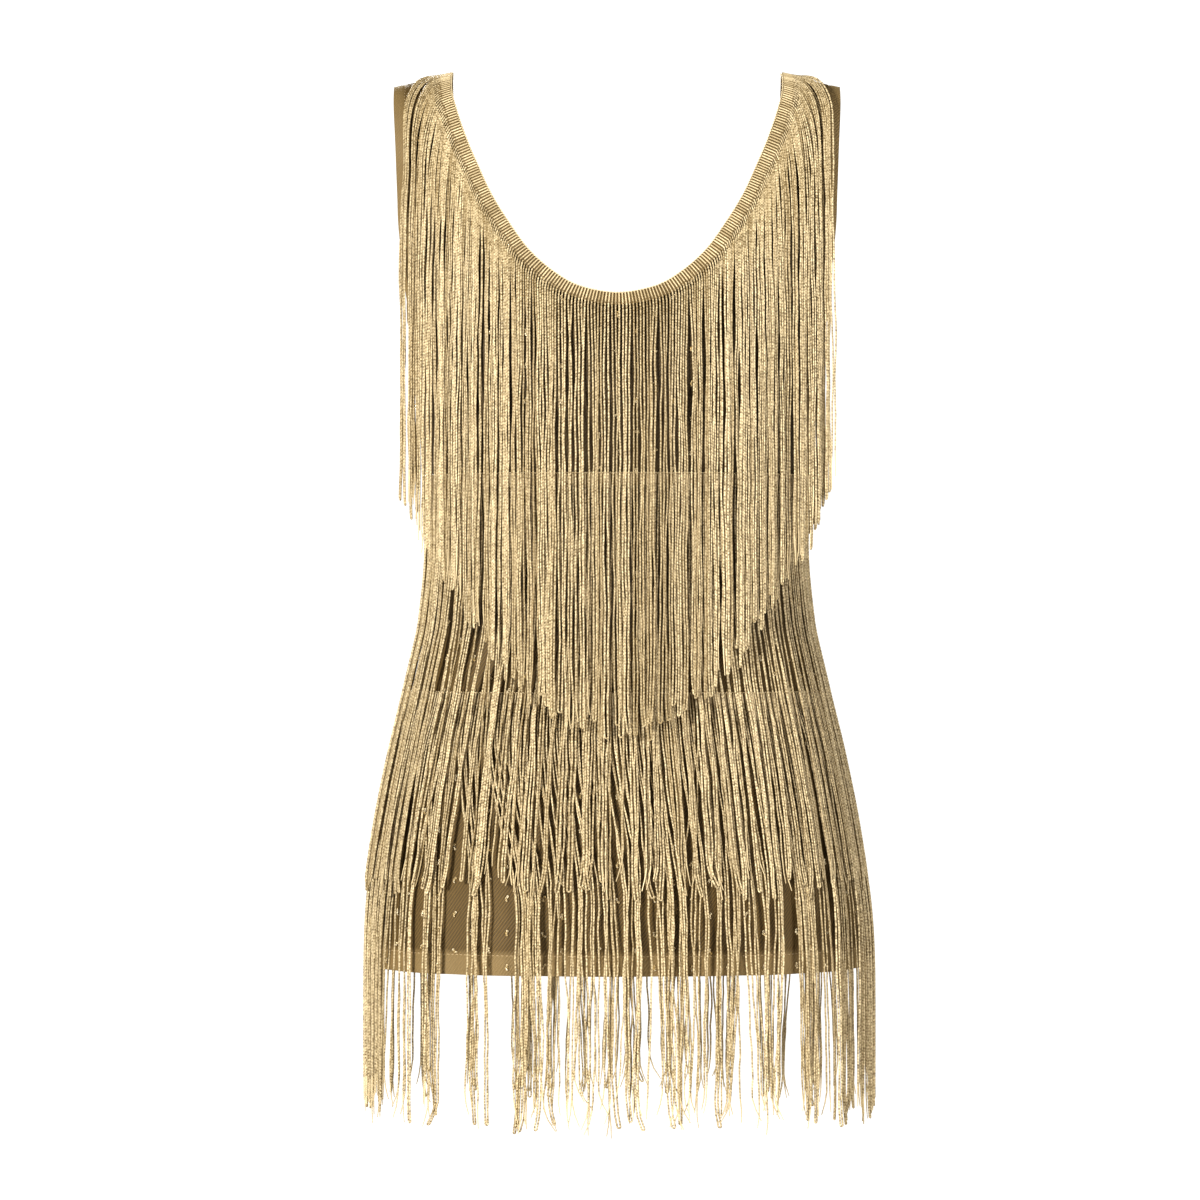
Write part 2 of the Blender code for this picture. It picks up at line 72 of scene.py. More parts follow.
# The worn shape at each level: half its width, and how far the front and the back stand from the middle
Section = namedtuple("Section", "level half_width front back")
SECTIONS = (
    Section(-0.750, 0.178, 0.104, 0.119),
    Section(-0.640, 0.178, 0.104, 0.119),
    Section(-0.590, 0.176, 0.106, 0.121),
    Section(-0.540, 0.169, 0.105, 0.119),
    Section(-0.490, 0.159, 0.102, 0.111),
    Section(-0.440, 0.147, 0.097, 0.099),
    Section(-0.390, 0.136, 0.091, 0.086),
    Section(-0.345, 0.1315, 0.090, 0.079),
    Section(-0.300, 0.136, 0.097, 0.083),
    Section(-0.250, 0.143, 0.108, 0.090),
    Section(-0.210, 0.147, 0.112, 0.094),
    Section(-0.178, 0.151, 0.106, 0.095),
    Section(-0.160, 0.162, 0.100, 0.093),
    Section(-0.139, 0.176, 0.093, 0.091),
    Section(-0.099, 0.196, 0.076, 0.082),
    Section(-0.055, 0.196, 0.058, 0.066),
    Section(0.000, 0.190, 0.050, 0.055),
)

# The scooped neck, from the middle to the shoulder: half its width, and how far down the cloth it lies
NeckPoint = namedtuple("NeckPoint", "half_width down")
NECKS = {
    FRONT: (
        NeckPoint(0.0000, 0.1960),
        NeckPoint(0.0250, 0.1915),
        NeckPoint(0.0426, 0.1820),
        NeckPoint(0.0608, 0.1660),
        NeckPoint(0.0753, 0.1460),
        NeckPoint(0.0886, 0.1240),
        NeckPoint(0.0982, 0.1030),
        NeckPoint(0.1065, 0.0830),
        NeckPoint(0.1136, 0.0620),
        NeckPoint(0.1180, 0.0400),
        NeckPoint(NECK_HALF_WIDTH, 0.0),
    ),
    BACK: (
        NeckPoint(0.0000, 0.2010),
        NeckPoint(0.0310, 0.1950),
        NeckPoint(0.0500, 0.1840),
        NeckPoint(0.0690, 0.1660),
        NeckPoint(0.0835, 0.1460),
        NeckPoint(0.0960, 0.1240),
        NeckPoint(0.1050, 0.1030),
        NeckPoint(0.1120, 0.0830),
        NeckPoint(0.1170, 0.0620),
        NeckPoint(0.1190, 0.0400),
        NeckPoint(NECK_HALF_WIDTH, 0.0),
    ),
}

# The armhole, from the side seam to the shoulder: degrees round from the middle, and how far down the cloth
ArmPoint = namedtuple("ArmPoint", "degrees down")
ARMHOLE = (
    ArmPoint(90.0, 0.2095),
    ArmPoint(82.0, 0.2070),
    ArmPoint(75.0, 0.2010),
    ArmPoint(69.0, 0.1935),
    ArmPoint(60.0, 0.1705),
    ArmPoint(52.5, 0.1305),
    ArmPoint(53.5, 0.0864),
    ArmPoint(56.5, 0.0400),
    ArmPoint(57.7, 0.0),
)

# Soft troughs in the hanging cloth: degrees round, where they fade out above, and how wide and deep they are
Trough = namedtuple("Trough", "side degrees fades_at width depth")
TROUGHS = (
    Trough(FRONT, -64, -0.500, 0.016, 0.0022),
    Trough(FRONT, -41, -0.540, 0.013, 0.0018),
    Trough(FRONT, -17, -0.520, 0.018, 0.0022),
    Trough(FRONT, 9, -0.550, 0.014, 0.0016),
    Trough(FRONT, 27, -0.530, 0.012, 0.0020),
    Trough(FRONT, 49, -0.510, 0.017, 0.0024),
    Trough(FRONT, 70, -0.540, 0.012, 0.0016),
    Trough(BACK, -58, -0.520, 0.015, 0.0022),
    Trough(BACK, -30, -0.540, 0.018, 0.0020),
    Trough(BACK, -6, -0.520, 0.013, 0.0018),
    Trough(BACK, 21, -0.550, 0.016, 0.0022),
    Trough(BACK, 46, -0.520, 0.014, 0.0018),
    Trough(BACK, 68, -0.540, 0.016, 0.0022),
)

# The cut of each knit piece, laid flat: its greatest width and length in metres, and its area
Cut = namedtuple("Cut", "width length area")

# Cloth mesh and turned edges
CELL = 0.0045
HALF_COLUMNS = 46
TABLE_STEPS = 12
KNIT_THICKNESS = 0.0012
HEM_TURN = 0.0140
ARMHOLE_TURN = 0.0080
TURN_THICKNESS = 0.0008
STITCH_GROOVE = 0.0004
GROOVE_WIDTH = 0.0012
SHARP_EDGE = math.radians(50)

# Where shade from the fringe is painted on the cloth, as the fringe keeps the light off it: how far down, over
# what length it begins, and how far across
PAINTED_SHADE_FROM, PAINTED_SHADE_TO = 0.010, 0.450
PAINTED_SHADE_OVER = 0.030
PAINTED_SHADE_ACROSS = 0.128

# Sewing thread
STITCH_LENGTH = 0.0024
STITCH_GAP = 0.0034
THREAD = 0.00028
STITCH_RINGS, STITCH_SIDES = 4, 4
THIN_ENDS = 0.15
STITCH_ARCH, STITCH_SINK = 1.2, 0.4
HEM_POINTS = 900
ARMHOLE_POINTS = 260
HEM_STITCHED = slice(4, -4)
ARMHOLE_STITCHED = slice(3, -2)

# Beads: columns round the dress and rows down it, with every second column half a row lower
BEAD_COLUMN = 0.0129
BEAD_ROW = 0.0239
BEAD = 0.0020
BEAD_HOLE = 0.0007
BEAD_MARGIN = 0.016
EDGE_MARGIN = 0.004
NECK_MARGIN = 0.006
FIRST_BEADS = 0.020
BEAD_COLUMNS, BEAD_ROWS = 20, 40
ANGLE_POINTS = 400
BEAD_RINGS, BEAD_SIDES = 6, 4
BEAD_RISE = 0.0009
BEAD_STRAY = 0.0008
BEAD_LEAN = 0.5

# One cluster: each bead's place on the cloth and its tilt
ClusterBead = namedtuple("ClusterBead", "x y tilt")
CLUSTER = (
    ClusterBead(-0.0015, 0.0003, 0.5),
    ClusterBead(0.0001, -0.0003, -0.3),
    ClusterBead(0.0016, 0.0002, 0.9),
)

# Fringe: a strand is one leg of a loop
STRAND_PITCH = 0.00213
STRAND = 0.00068
RIB = 0.00058
TAPE_CHAIN = 0.00036
SCALLOP = 0.0007
RIB_LIFT = TAPE_LIFT + TAPE_THICKNESS / 2
BAND_LIFT = 0.0002
BAND_THICKNESS = 0.0008
BAND_CELL = 0.004
BAND_ROWS = 5
TAPE_EDGE = 0.0005
TAPE_END = 0.0003
SCALLOP_BASE = 0.0003
SCALLOP_POINTS = 4
RIB_RINGS = 4
LEG_RINGS = 42
LOOP_RINGS = 5
STRAND_SIDES = 5
CURL_LENGTH = 0.0016
WAVES = 0.0006
CHAIN_STITCH = 0.0021
YARN_LINK = 0.0014
THINNEST, THICKEST = 0.88, 1.08
FRAYED = (0.85, 0.70, 0.50)
RING_CROWDING = 1.12
FALL_POINTS = 110
RING_LEVELS = 200
RING_TURNS = 1441
EDGE_STEP = 0.002
# Each strand's painted shade, darker where it lies deep, is mixed this far with a random tone; the tape's edge
# thread takes a fixed value
TONE_CHANGE = 0.4
EDGE_SHADE_AND_TONE = 0.2
MARK_START = 0.01

NECK_STRAND = 0.297
SHOULDER_STRAND = 0.328
SHOULDER_SPREAD = 0.1505
SHOULDER_LEAN = -0.0014
SHOULDER_LEAN_FROM, SHOULDER_LEAN_OVER = 0.04, 0.12
SPREAD_POWER = 4.5
FAN_LENGTH = 0.060
SHIFTED_BY = 0.05
LIFTED_WITHIN = 0.010
NECK_LAYERED_BY = 0.03
BACK_LAYERS_BY = 0.280

# The level tiers: layers is how deep the strands lie on each other, and gathered how far down they clump
Tier = namedtuple("Tier", "name level strand lift lifted_by layers gathered cut_ends lean")
OVER_HIP_FRINGE = STRAND_LIFT + FRINGE_LAYER
WAIST = Tier("waist_fringe", -0.2894, 0.281, OVER_HIP_FRINGE, -0.425, 0.0016, 0.75, 0.30, 0.0014)
HIP = Tier("hip_fringe", -0.4430, 0.291, STRAND_LIFT, -0.475, 0.0022, 0.50, 0.65, 0.0020)
NECK_CUT_ENDS = 0.30
NECK_LEAN = 0.0007
TIP_LEVELS = -0.760

# The clumps: how far their loops draw together lower down, the full ones less, and the back's wider spread
TAPER, FULL_TAPER = 0.38, 0.1
FULL_CLUMP = 13
BACK_CLUMP_SCALE = 1.077
WAIST_CLUMPS = 0.008, 0.026
WAIST_PULL = 0.19
PULL_CHANGE = 0.6, 1.2
CLUMP_STRAY = 0.002
CLUMPED_FROM, CLUMPED_OVER = 0.55, 0.4
NECK_PULL = 0.16
SHOULDER_PULL = 0.3
SMALLEST_GROUP, LARGEST_GROUP = 1, 3

# The hang at the sides: shorter strands at the hips, a flare on the right, and how far it follows the waist
SIDE_SHORTER = 0.008
NEAR_SEAM_POWER = 14
FLARE = 0.0035
FLARE_POWER = 4
FLARE_FROM, FLARE_OVER = 0.2, 0.5
WAIST_TUCK = 0.6

# Unevenness from loop to loop: lengths, places and how far a loop's two legs lie apart
LENGTH_STRAY, LONGEST = 0.0050, 0.0060
NECK_LENGTH_STRAY = 0.0048
TIP_STRAY = 0.0009
NECK_STRAY = 0.0005
STRAY_SHARE, STRAY_REACH = 0.05, 0.020
CUT_OPENING = 0.0004, 0.0030
LOOP_OPENING = 0.0005, 0.0009
NECK_CUT_OPENING = 0.0002, 0.0012
NECK_LOOP_OPENING = -0.0003, 0.0002
CUT_CHANGE = -0.009, 0.003
NECK_CUT_CHANGE = -0.010, 0.002
LEG_LAYER = 0.0006
NECK_LEG_LAYER = 0.0005
LAYERED_BY = 0.12
NECK_LAYERS, SHOULDER_LAYERS = 0.0006, 0.0040

# One loop's yarn: its points, and how deep it lies, from 1 next to the cloth to 0 outermost
Yarn = namedtuple("Yarn", "points depth")

# The waves of a hanging strand: their length in metres and each one's share
Wave = namedtuple("Wave", "length share")
STRAND_WAVES = Wave(0.130, 0.55), Wave(0.050, 0.30), Wave(0.021, 0.15)
WAVE_CHANGE = 0.8, 1.25

# Where along a strand its waves are full, its lean and its bent end begin, and a loop's legs come together
WAVES_BY = 0.25
LEAN_FROM, LEAN_OVER = 0.35, 0.65
BENT_FROM, BENT_OVER = 0.93, 0.07
TOGETHER_FROM, TOGETHER_OVER = 0.6, 0.4

# Where the hip fringe's loops hang together at the front: the clump's two edges and its share of the strands
Clump = namedtuple("Clump", "left right strands")
HIP_CLUMPS = (
    Clump(-0.1780, -0.1560, 27),
    Clump(-0.1510, -0.1460, 4),
    Clump(-0.1350, -0.1240, 9),
    Clump(-0.1020, -0.0970, 7),
    Clump(-0.0710, -0.0545, 17),
    Clump(-0.0470, -0.0364, 6),
    Clump(-0.0300, -0.0180, 8),
    Clump(-0.0150, -0.0140, 2),
    Clump(-0.0060, -0.0014, 3),
    Clump(0.0020, 0.0182, 12),
    Clump(0.0287, 0.0490, 13),
    Clump(0.0520, 0.0640, 4),
    Clump(0.0665, 0.0830, 11),
    Clump(0.0900, 0.1180, 12),
    Clump(0.1250, 0.1370, 13),
    Clump(0.1435, 0.1720, 20),
    Clump(0.1730, 0.1780, 14),
)


def mix(start, end, share):
    return start + (end - start) * share


def ease(share):
    share = np.clip(share, 0, 1)
    return share * share * (3 - 2 * share)


def begun(value, start, over):
    """From 0 up to the start to 1 a length over past it, smoothly."""
    return ease((value - start) / over)


def unit(vectors):
    return vectors / np.maximum(np.linalg.norm(vectors, axis=-1, keepdims=True), 1e-12)


def lengths_of(points):
    """The length along a line of points from its start to each of them."""
    return np.concatenate([[0], np.cumsum(np.linalg.norm(np.diff(points, axis=0), axis=1))])


def along_line(points, lengths, at):
    return np.stack([np.interp(at, lengths, points[:, axis]) for axis in range(points.shape[1])], axis=-1)


# The shape of the worn cloth


def table_columns(table):
    return {name: np.array([getattr(row, name) for row in table]) for name in table[0]._fields}


BODY = table_columns(SECTIONS)


def section(column, level):
    """A column of SECTIONS at any levels, as one smooth curve through the rows."""
    levels, values = BODY["level"], BODY[column]
    place = np.arange(len(levels))
    before, after = np.maximum(place - 1, 0), np.minimum(place + 1, len(levels) - 1)
    slopes = (values[after] - values[before]) / (levels[after] - levels[before])
    level = np.clip(level, levels[0], levels[-1])
    i = np.clip(np.searchsorted(levels, level, side="right") - 1, 0, len(levels) - 2)
    span = levels[i + 1] - levels[i]
    t = (level - levels[i]) / span
    return (
        values[i] * (1 + 2 * t) * (1 - t) ** 2
        + slopes[i] * span * t * (1 - t) ** 2
        + values[i + 1] * t * t * (3 - 2 * t)
        - slopes[i + 1] * span * t * t * (1 - t)
    )


def drop_of(down):
    """The height lost along a length of cloth, which rolls over the shoulder and then hangs."""
    rolled = SHOULDER_ROLL * (1 - np.cos(np.minimum(down, ROLL_LENGTH) / SHOULDER_ROLL))
    return np.where(down < ROLL_LENGTH, rolled, down - ROLL_LENGTH + SHOULDER_ROLL)


def down_at(level):
    return ROLL_LENGTH - SHOULDER_ROLL - level


def depth_share(angle, down):
    roll = np.sin(np.minimum(down / SHOULDER_ROLL, math.pi / 2))
    return np.cos(angle) * (1 + CHEST_FLATNESS * np.sin(angle) ** 2) * roll


def body_point(side, angle, down):
    """Points of the worn cloth's outer face. The side is FRONT or BACK, and the angle is 0 in the middle."""
    angle, down = np.broadcast_arrays(np.asarray(angle, float), np.asarray(down, float))
    level = -drop_of(down)
    x = section("half_width", level) * np.sin(angle)
    depth = section(NAMES[side], level) * depth_share(angle, down)
    outside_neck = np.maximum(0, np.abs(x) - NECK_HALF_WIDTH)
    fall = SHOULDER_SLOPE * outside_neck * (1 - ease(down / SLOPE_FADES_BY))
    return np.stack([x, side * depth, level - fall], axis=-1)


def body_slopes(side, angle, down):
    """How the cloth's point moves for each radian round and each metre down."""
    above, below = np.maximum(down - SMALL, 0), down + SMALL
    round_body = body_point(side, angle + SMALL, down) - body_point(side, angle - SMALL, down)
    down_body = body_point(side, angle, below) - body_point(side, angle, above)
    return round_body / (2 * SMALL), down_body / (below - above)[..., None]


def body_normal(side, angle, down):
    angle, down = np.broadcast_arrays(np.asarray(angle, float), np.asarray(down, float))
    round_body, down_body = body_slopes(side, angle, down)
    return unit(np.cross(down_body, round_body) * -side)


def angle_at(x, down):
    share = x / section("half_width", -drop_of(down))
    return np.arcsin(np.clip(share, -1, 1))


def curve_value(t, before, start, end, after):
    turn = 2 * before - 5 * start + 4 * end - after
    twist = 3 * start - before - 3 * end + after
    return 0.5 * (2 * start + (end - before) * t + turn * t * t + twist * t**3)


def smooth_rows(table):
    """Points along one smooth curve through a table's rows, which starts square to the middle or the side."""
    rows = [tuple(row) for row in table]
    mirrored = (2 * rows[0][0] - rows[1][0], rows[1][1])
    last = tuple(2 * a - b for a, b in zip(rows[-1], rows[-2]))
    around = [mirrored, *rows, last]
    curve = []
    for i in range(len(rows) - 1):
        for k in range(TABLE_STEPS):
            curve.append(tuple(curve_value(k / TABLE_STEPS, *values) for values in zip(*around[i : i + 4])))
    return np.array([*curve, rows[-1]])


def neck_curve(side):
    """(angle, down) along half of the neck's edge, from the middle to the shoulder."""
    half, down = smooth_rows(NECKS[side]).T
    down = np.maximum(down, 0)
    return np.stack([angle_at(half, down), down], axis=-1)


def arm_curve():
    degrees, down = smooth_rows(ARMHOLE).T
    return np.stack([np.radians(np.minimum(degrees, 90)), np.maximum(down, 0)], axis=-1)


# Meshes


def new_object(name, mesh):
    made = bpy.data.objects.new(name, mesh)
    bpy.context.scene.collection.objects.link(made)
    return made


def put_attribute(mesh, name, kind, values):
    field = "vector" if kind == "FLOAT_VECTOR" else "value"
    mesh.attributes.new(name, kind, "POINT").data.foreach_set(field, np.asarray(values, float).ravel())


def wall_mesh(name, outer, inner, quads, uv, marks):
    """A closed thin wall: the outer points, the inner ones behind them, and a rim wherever the quads end."""
    count = len(outer)
    edges = {(int(a), int(b)) for quad in quads for a, b in zip(quad, np.roll(quad, -1))}
    rim = [(b, a, a + count, b + count) for a, b in edges if (b, a) not in edges]
    faces = [*map(tuple, quads), *(tuple(q[::-1] + count) for q in quads), *sorted(rim)]
    mesh = bpy.data.meshes.new(name)
    mesh.from_pydata(np.concatenate([outer, inner]).tolist(), [], [tuple(map(int, face)) for face in faces])
    layer = mesh.uv_layers.new(name="Cloth")
    corners = np.empty(len(mesh.loops), dtype=np.int32)
    mesh.loops.foreach_get("vertex_index", corners)
    layer.data.foreach_set("uv", np.concatenate([uv, uv])[corners].astype(np.float32).ravel())
    for mark, (outside, inside) in marks.items():
        put_attribute(mesh, mark, "FLOAT", np.concatenate([outside, inside]))
    mesh.shade_smooth()
    mesh.set_sharp_from_angle(angle=SHARP_EDGE)
    return mesh


def panel_rows(side):
    """Each row's ends as (inner angle, inner down, outer angle, outer down), from the hem to the shoulder."""
    top_of_body = down_at(UNDERARM_LEVEL)
    neck, arm = neck_curve(side), arm_curve()
    rows = []
    for down in np.linspace(HEM_DOWN, top_of_body, round((HEM_DOWN - top_of_body) / CELL) + 1)[:-1]:
        rows.append((0, down, math.pi / 2, down))
    steps = round((top_of_body - neck[0, 1]) / CELL)
    for share in np.linspace(0, 1, steps + 1)[:-1]:
        down = mix(top_of_body, neck[0, 1], share), mix(top_of_body, arm[0, 1], share)
        rows.append((0, down[0], math.pi / 2, down[1]))
    neck_lengths = lengths_of(body_point(side, *neck.T))
    arm_lengths = lengths_of(body_point(side, *arm.T))
    steps = round(neck_lengths[-1] / CELL)
    for share in np.linspace(0, 1, steps + 1):
        inner = along_line(neck, neck_lengths, share * neck_lengths[-1])
        rows.append((*inner, *along_line(arm, arm_lengths, share * arm_lengths[-1])))
    return np.array(rows)


def panel_grid(side):
    """The points' (angle, down), the quads between them, and the length round from the middle to each."""
    rows = panel_rows(side)
    share = np.linspace(0, 1, HALF_COLUMNS + 1)
    right = np.stack([mix(rows[:, None, k], rows[:, None, k + 2], share) for k in (0, 1)], axis=-1)
    points = body_point(side, right[..., 0], right[..., 1])
    start = points[:, 0, 0]
    steps = np.linalg.norm(np.diff(points, axis=1), axis=2)
    reach = np.concatenate([start[:, None], start[:, None] + np.cumsum(steps, axis=1)], axis=1)
    left = right * (-1, 1)
    count = right.shape[0] * right.shape[1]
    numbers = np.arange(count).reshape(right.shape[:2])
    left_numbers = numbers + count
    joined = rows[:, 0] < 1e-9
    left_numbers[joined, 0] = numbers[joined, 0]
    quads = []
    for grid, turned in ((numbers, False), (left_numbers, True)):
        a, b, c, d = grid[:-1, :-1], grid[:-1, 1:], grid[1:, 1:], grid[1:, :-1]
        corners = (a, d, c, b) if turned else (a, b, c, d)
        quads.append(np.stack(corners, axis=-1).reshape(-1, 4))
    quads = np.concatenate(quads)
    if side == BACK:
        quads = quads[:, ::-1]
    places = np.concatenate([right.reshape(-1, 2), left.reshape(-1, 2)])
    across = np.concatenate([reach.ravel(), -reach.ravel()])
    used = np.unique(quads)
    renumber = np.zeros(2 * count, dtype=int)
    renumber[used] = np.arange(len(used))
    return places[used], renumber[quads], across[used]


def nearest(points, line):
    """How far each point is from the nearest point of a line."""
    best = np.full(len(points), np.inf)
    for spot in line:
        best = np.minimum(best, np.linalg.norm(points - spot, axis=1))
    return best


def groove(distance, turn):
    """How deep the row of stitches draws the cloth in, at a distance from a turned edge."""
    return STITCH_GROOVE * np.exp(-(((distance - turn) / GROOVE_WIDTH) ** 2))


def armhole_line(side, sign, inset=0.0):
    """(angle, down) along one armhole's edge, moved in over the cloth by an inset."""
    arm = arm_curve() * (sign, 1)
    lengths = lengths_of(body_point(side, *arm.T))
    edge = along_line(arm, lengths, np.linspace(0, lengths[-1], ARMHOLE_POINTS))
    if not inset:
        return edge
    line = body_point(side, *edge.T)
    tangent = unit(np.gradient(line, axis=0))
    inward = unit(np.cross(tangent, body_normal(side, *edge.T)))
    low_middle = body_point(side, np.zeros(len(edge)), np.full(len(edge), 2 * edge[:, 1].max()))
    towards = np.sum(inward * (low_middle - line), axis=1, keepdims=True)
    inward *= np.where(towards < 0, -1, 1)
    return moved_on_cloth(side, edge[:, 0], edge[:, 1], inward * inset)


def moved_on_cloth(side, angle, down, step):
    """(angle, down) of the cloth's points a step away, given as a vector along the cloth."""
    round_body, down_body = body_slopes(side, angle, down)
    a = np.sum(round_body * round_body, axis=-1)
    b = np.sum(round_body * down_body, axis=-1)
    c = np.sum(down_body * down_body, axis=-1)
    p, q = np.sum(round_body * step, axis=-1), np.sum(down_body * step, axis=-1)
    size = a * c - b * b
    return np.stack([angle + (p * c - q * b) / size, down + (q * a - p * b) / size], axis=-1)


def trough_depth(side, angle, down):
    """How far the soft troughs draw the cloth in."""
    level = -drop_of(down)
    depth = np.zeros_like(angle)
    width = section("half_width", level)
    for trough in TROUGHS:
        if trough.side != side:
            continue
        away = (angle - math.radians(trough.degrees)) * width
        grows = ease((trough.fades_at - level) / (HEM_DROP + trough.fades_at))
        depth += trough.depth * grows * np.exp(-((away / trough.width) ** 2))
    return depth


def painted_fringe_shade(points, down):
    """How much shade from the fringe is painted on the cloth, which lies bare beside the neck fringe above the
    waist.
    """
    covered = begun(down, PAINTED_SHADE_FROM, PAINTED_SHADE_OVER) * ease((PAINTED_SHADE_TO - down) / PAINTED_SHADE_OVER)
    above_waist = begun(-drop_of(down), WAIST.level, TAPE_HEIGHT)
    return covered * (1 - above_waist * begun(np.abs(points[:, 0]), PAINTED_SHADE_ACROSS, TAPE_HEIGHT))


def knit_panel(side, material):
    """The front or the back of the dress, a thin closed wall with its turned hem and armhole edges."""
    places, quads, across = panel_grid(side)
    angle, down = places.T
    outer = body_point(side, angle, down)
    normal = body_normal(side, angle, down)
    above_hem = HEM_DOWN - down
    from_armhole = np.full(len(outer), np.inf)
    for sign in (-1, 1):
        line = body_point(side, *armhole_line(side, sign).T)
        from_armhole = np.minimum(from_armhole, nearest(outer, line))
    draw = trough_depth(side, angle, down) + groove(above_hem, HEM_TURN) + groove(from_armhole, ARMHOLE_TURN)
    in_turn = np.maximum(above_hem < HEM_TURN, from_armhole < ARMHOLE_TURN).astype(float)
    thickness = KNIT_THICKNESS + TURN_THICKNESS * in_turn
    face = outer - normal * draw[:, None]
    # The fringe's shade on the cloth, painted into its colour through a mark on the outer face
    covered = painted_fringe_shade(outer, down)
    marks = {"turned": (in_turn, in_turn), "covered": (covered, np.zeros_like(covered))}
    name = f"{NAMES[side]}_knit"
    uv = np.stack([across, down], axis=-1)
    mesh = wall_mesh(name, face, face - normal * thickness[:, None], quads, uv, marks)
    mesh.materials.append(material)
    return new_object(name, mesh)


# Geometry Nodes


def new_tree(name, inputs):
    """A node tree with a geometry in and out, and named inputs given as (name, socket kind)."""
    tree = bpy.data.node_groups.new(name, "GeometryNodeTree")
    tree.interface.new_socket("Geometry", in_out="OUTPUT", socket_type="NodeSocketGeometry")
    tree.interface.new_socket("Geometry", in_out="INPUT", socket_type="NodeSocketGeometry")
    for label, kind in inputs:
        tree.interface.new_socket(label, in_out="INPUT", socket_type=kind)
    return tree


def add(tree, kind, values=(), **settings):
    """A node with its settings, and its input sockets by name or number."""
    node = tree.nodes.new(kind)
    for setting, value in settings.items():
        setattr(node, setting, value)
    for socket, value in dict(values).items():
        target = node.inputs[socket]
        if isinstance(value, bpy.types.NodeSocket):
            tree.links.new(value, target)
        else:
            target.default_value = value
    return node


def run_tree(holder, tree, values):
    """Apply a tree to an object: its inputs by name, then the result as a plain mesh."""
    modifier = holder.modifiers.new(tree.name, "NODES")
    modifier.node_group = tree
    for item in tree.interface.items_tree:
        if item.in_out == "INPUT" and item.name in values:
            modifier[item.identifier] = values[item.name]
    depsgraph = bpy.context.evaluated_depsgraph_get()
    result = bpy.data.meshes.new_from_object(
        holder.evaluated_get(depsgraph), preserve_all_data_layers=True, depsgraph=depsgraph
    )
    holder.modifiers.clear()
    result.name = holder.name
    holder.data = result
    return holder


def finished_tree(tree, given, geometry):
    """The tree with its last nodes: real geometry in the given material."""
    real = add(tree, "GeometryNodeRealizeInstances", {"Geometry": geometry})
    settings = {"Geometry": real.outputs[0], "Material": given.outputs["Material"]}
    finish = add(tree, "GeometryNodeSetMaterial", settings)
    add(tree, "NodeGroupOutput", {"Geometry": finish.outputs[0]})
    return tree


def yarn_tree():
    """Sweeps a round yarn along every line of the mesh, as thick as the line's own attribute says."""
    tree = new_tree("Yarn along lines", [("Sides", "NodeSocketInt"), ("Material", "NodeSocketMaterial")])
    given = add(tree, "NodeGroupInput")
    thick = add(tree, "GeometryNodeInputNamedAttribute", {"Name": "thickness"}, data_type="FLOAT")
    lines = add(tree, "GeometryNodeMeshToCurve", {"Mesh": given.outputs["Geometry"]})
    sides = given.outputs["Sides"]
    ring = add(tree, "GeometryNodeCurvePrimitiveCircle", {"Resolution": sides, "Radius": 1.0})
    place = add(tree, "GeometryNodeInputPosition")
    marked = add(
        tree,
        "GeometryNodeStoreNamedAttribute",
        {"Geometry": ring.outputs["Curve"], "Name": "round", "Value": place.outputs[0]},
        data_type="FLOAT_VECTOR",
        domain="POINT",
    )
    swept = add(
        tree,
        "GeometryNodeCurveToMesh",
        {
            "Curve": lines.outputs[0],
            "Profile Curve": marked.outputs[0],
            "Scale": thick.outputs[0],
            "Fill Caps": True,
        },
    )
    smooth = add(tree, "GeometryNodeSetShadeSmooth", {"Geometry": swept.outputs[0]})
    return finished_tree(tree, given, smooth.outputs[0])


def sewn_on_tree():
    """Sets one small shape on every point of the mesh, turned to the point's own directions."""
    tree = new_tree("Sewn on points", [("Shape", "NodeSocketObject"), ("Material", "NodeSocketMaterial")])
    given = add(tree, "NodeGroupInput")
    shape = add(tree, "GeometryNodeObjectInfo", {"Object": given.outputs["Shape"]})
    out = add(tree, "GeometryNodeInputNamedAttribute", {"Name": "out"}, data_type="FLOAT_VECTOR")
    run = add(tree, "GeometryNodeInputNamedAttribute", {"Name": "run"}, data_type="FLOAT_VECTOR")
    turn = add(
        tree,
        "FunctionNodeAxesToRotation",
        {0: out.outputs[0], 1: run.outputs[0]},
        primary_axis="Z",
        secondary_axis="X",
    )
    points = add(tree, "GeometryNodeMeshToPoints", {"Mesh": given.outputs["Geometry"]})
    placed = add(
        tree,
        "GeometryNodeInstanceOnPoints",
        {
            "Points": points.outputs[0],
            "Instance": shape.outputs["Geometry"],
            "Rotation": turn.outputs[0],
        },
    )
    return finished_tree(tree, given, placed.outputs[0])


def lines_object(name, lines, marks):
    """An object of loose lines, each an array of points, with one value for each point in every mark."""
    mesh = bpy.data.meshes.new(name)
    points = np.concatenate(lines)
    edges, start = [], 0
    for line in lines:
        numbers = np.arange(start, start + len(line))
        edges.append(np.stack([numbers[:-1], numbers[1:]], axis=-1))
        start += len(line)
    mesh.from_pydata(points.tolist(), np.concatenate(edges).tolist(), [])
    for mark, values in marks.items():
        put_attribute(mesh, mark, "FLOAT", np.concatenate(values))
    return new_object(name, mesh)


def points_object(name, points, out, run):
    mesh = bpy.data.meshes.new(name)
    mesh.from_pydata(np.asarray(points).tolist(), [], [])
    put_attribute(mesh, "out", "FLOAT_VECTOR", out)
    put_attribute(mesh, "run", "FLOAT_VECTOR", run)
    return new_object(name, mesh)


# Fringe


def wander(rng, along, size):
    """The small sideways waves of a hanging strand."""
    total = np.zeros_like(along)
    for wave in STRAND_WAVES:
        length = wave.length * rng.uniform(*WAVE_CHANGE)
        total += wave.share * np.sin(math.tau * along / length + rng.uniform(0, math.tau))
    return total * size


def leg_shares():
    """How far along a strand each of its rings is, closer together where it leaves the tape."""
    return np.linspace(0, 1, LEG_RINGS) ** RING_CROWDING


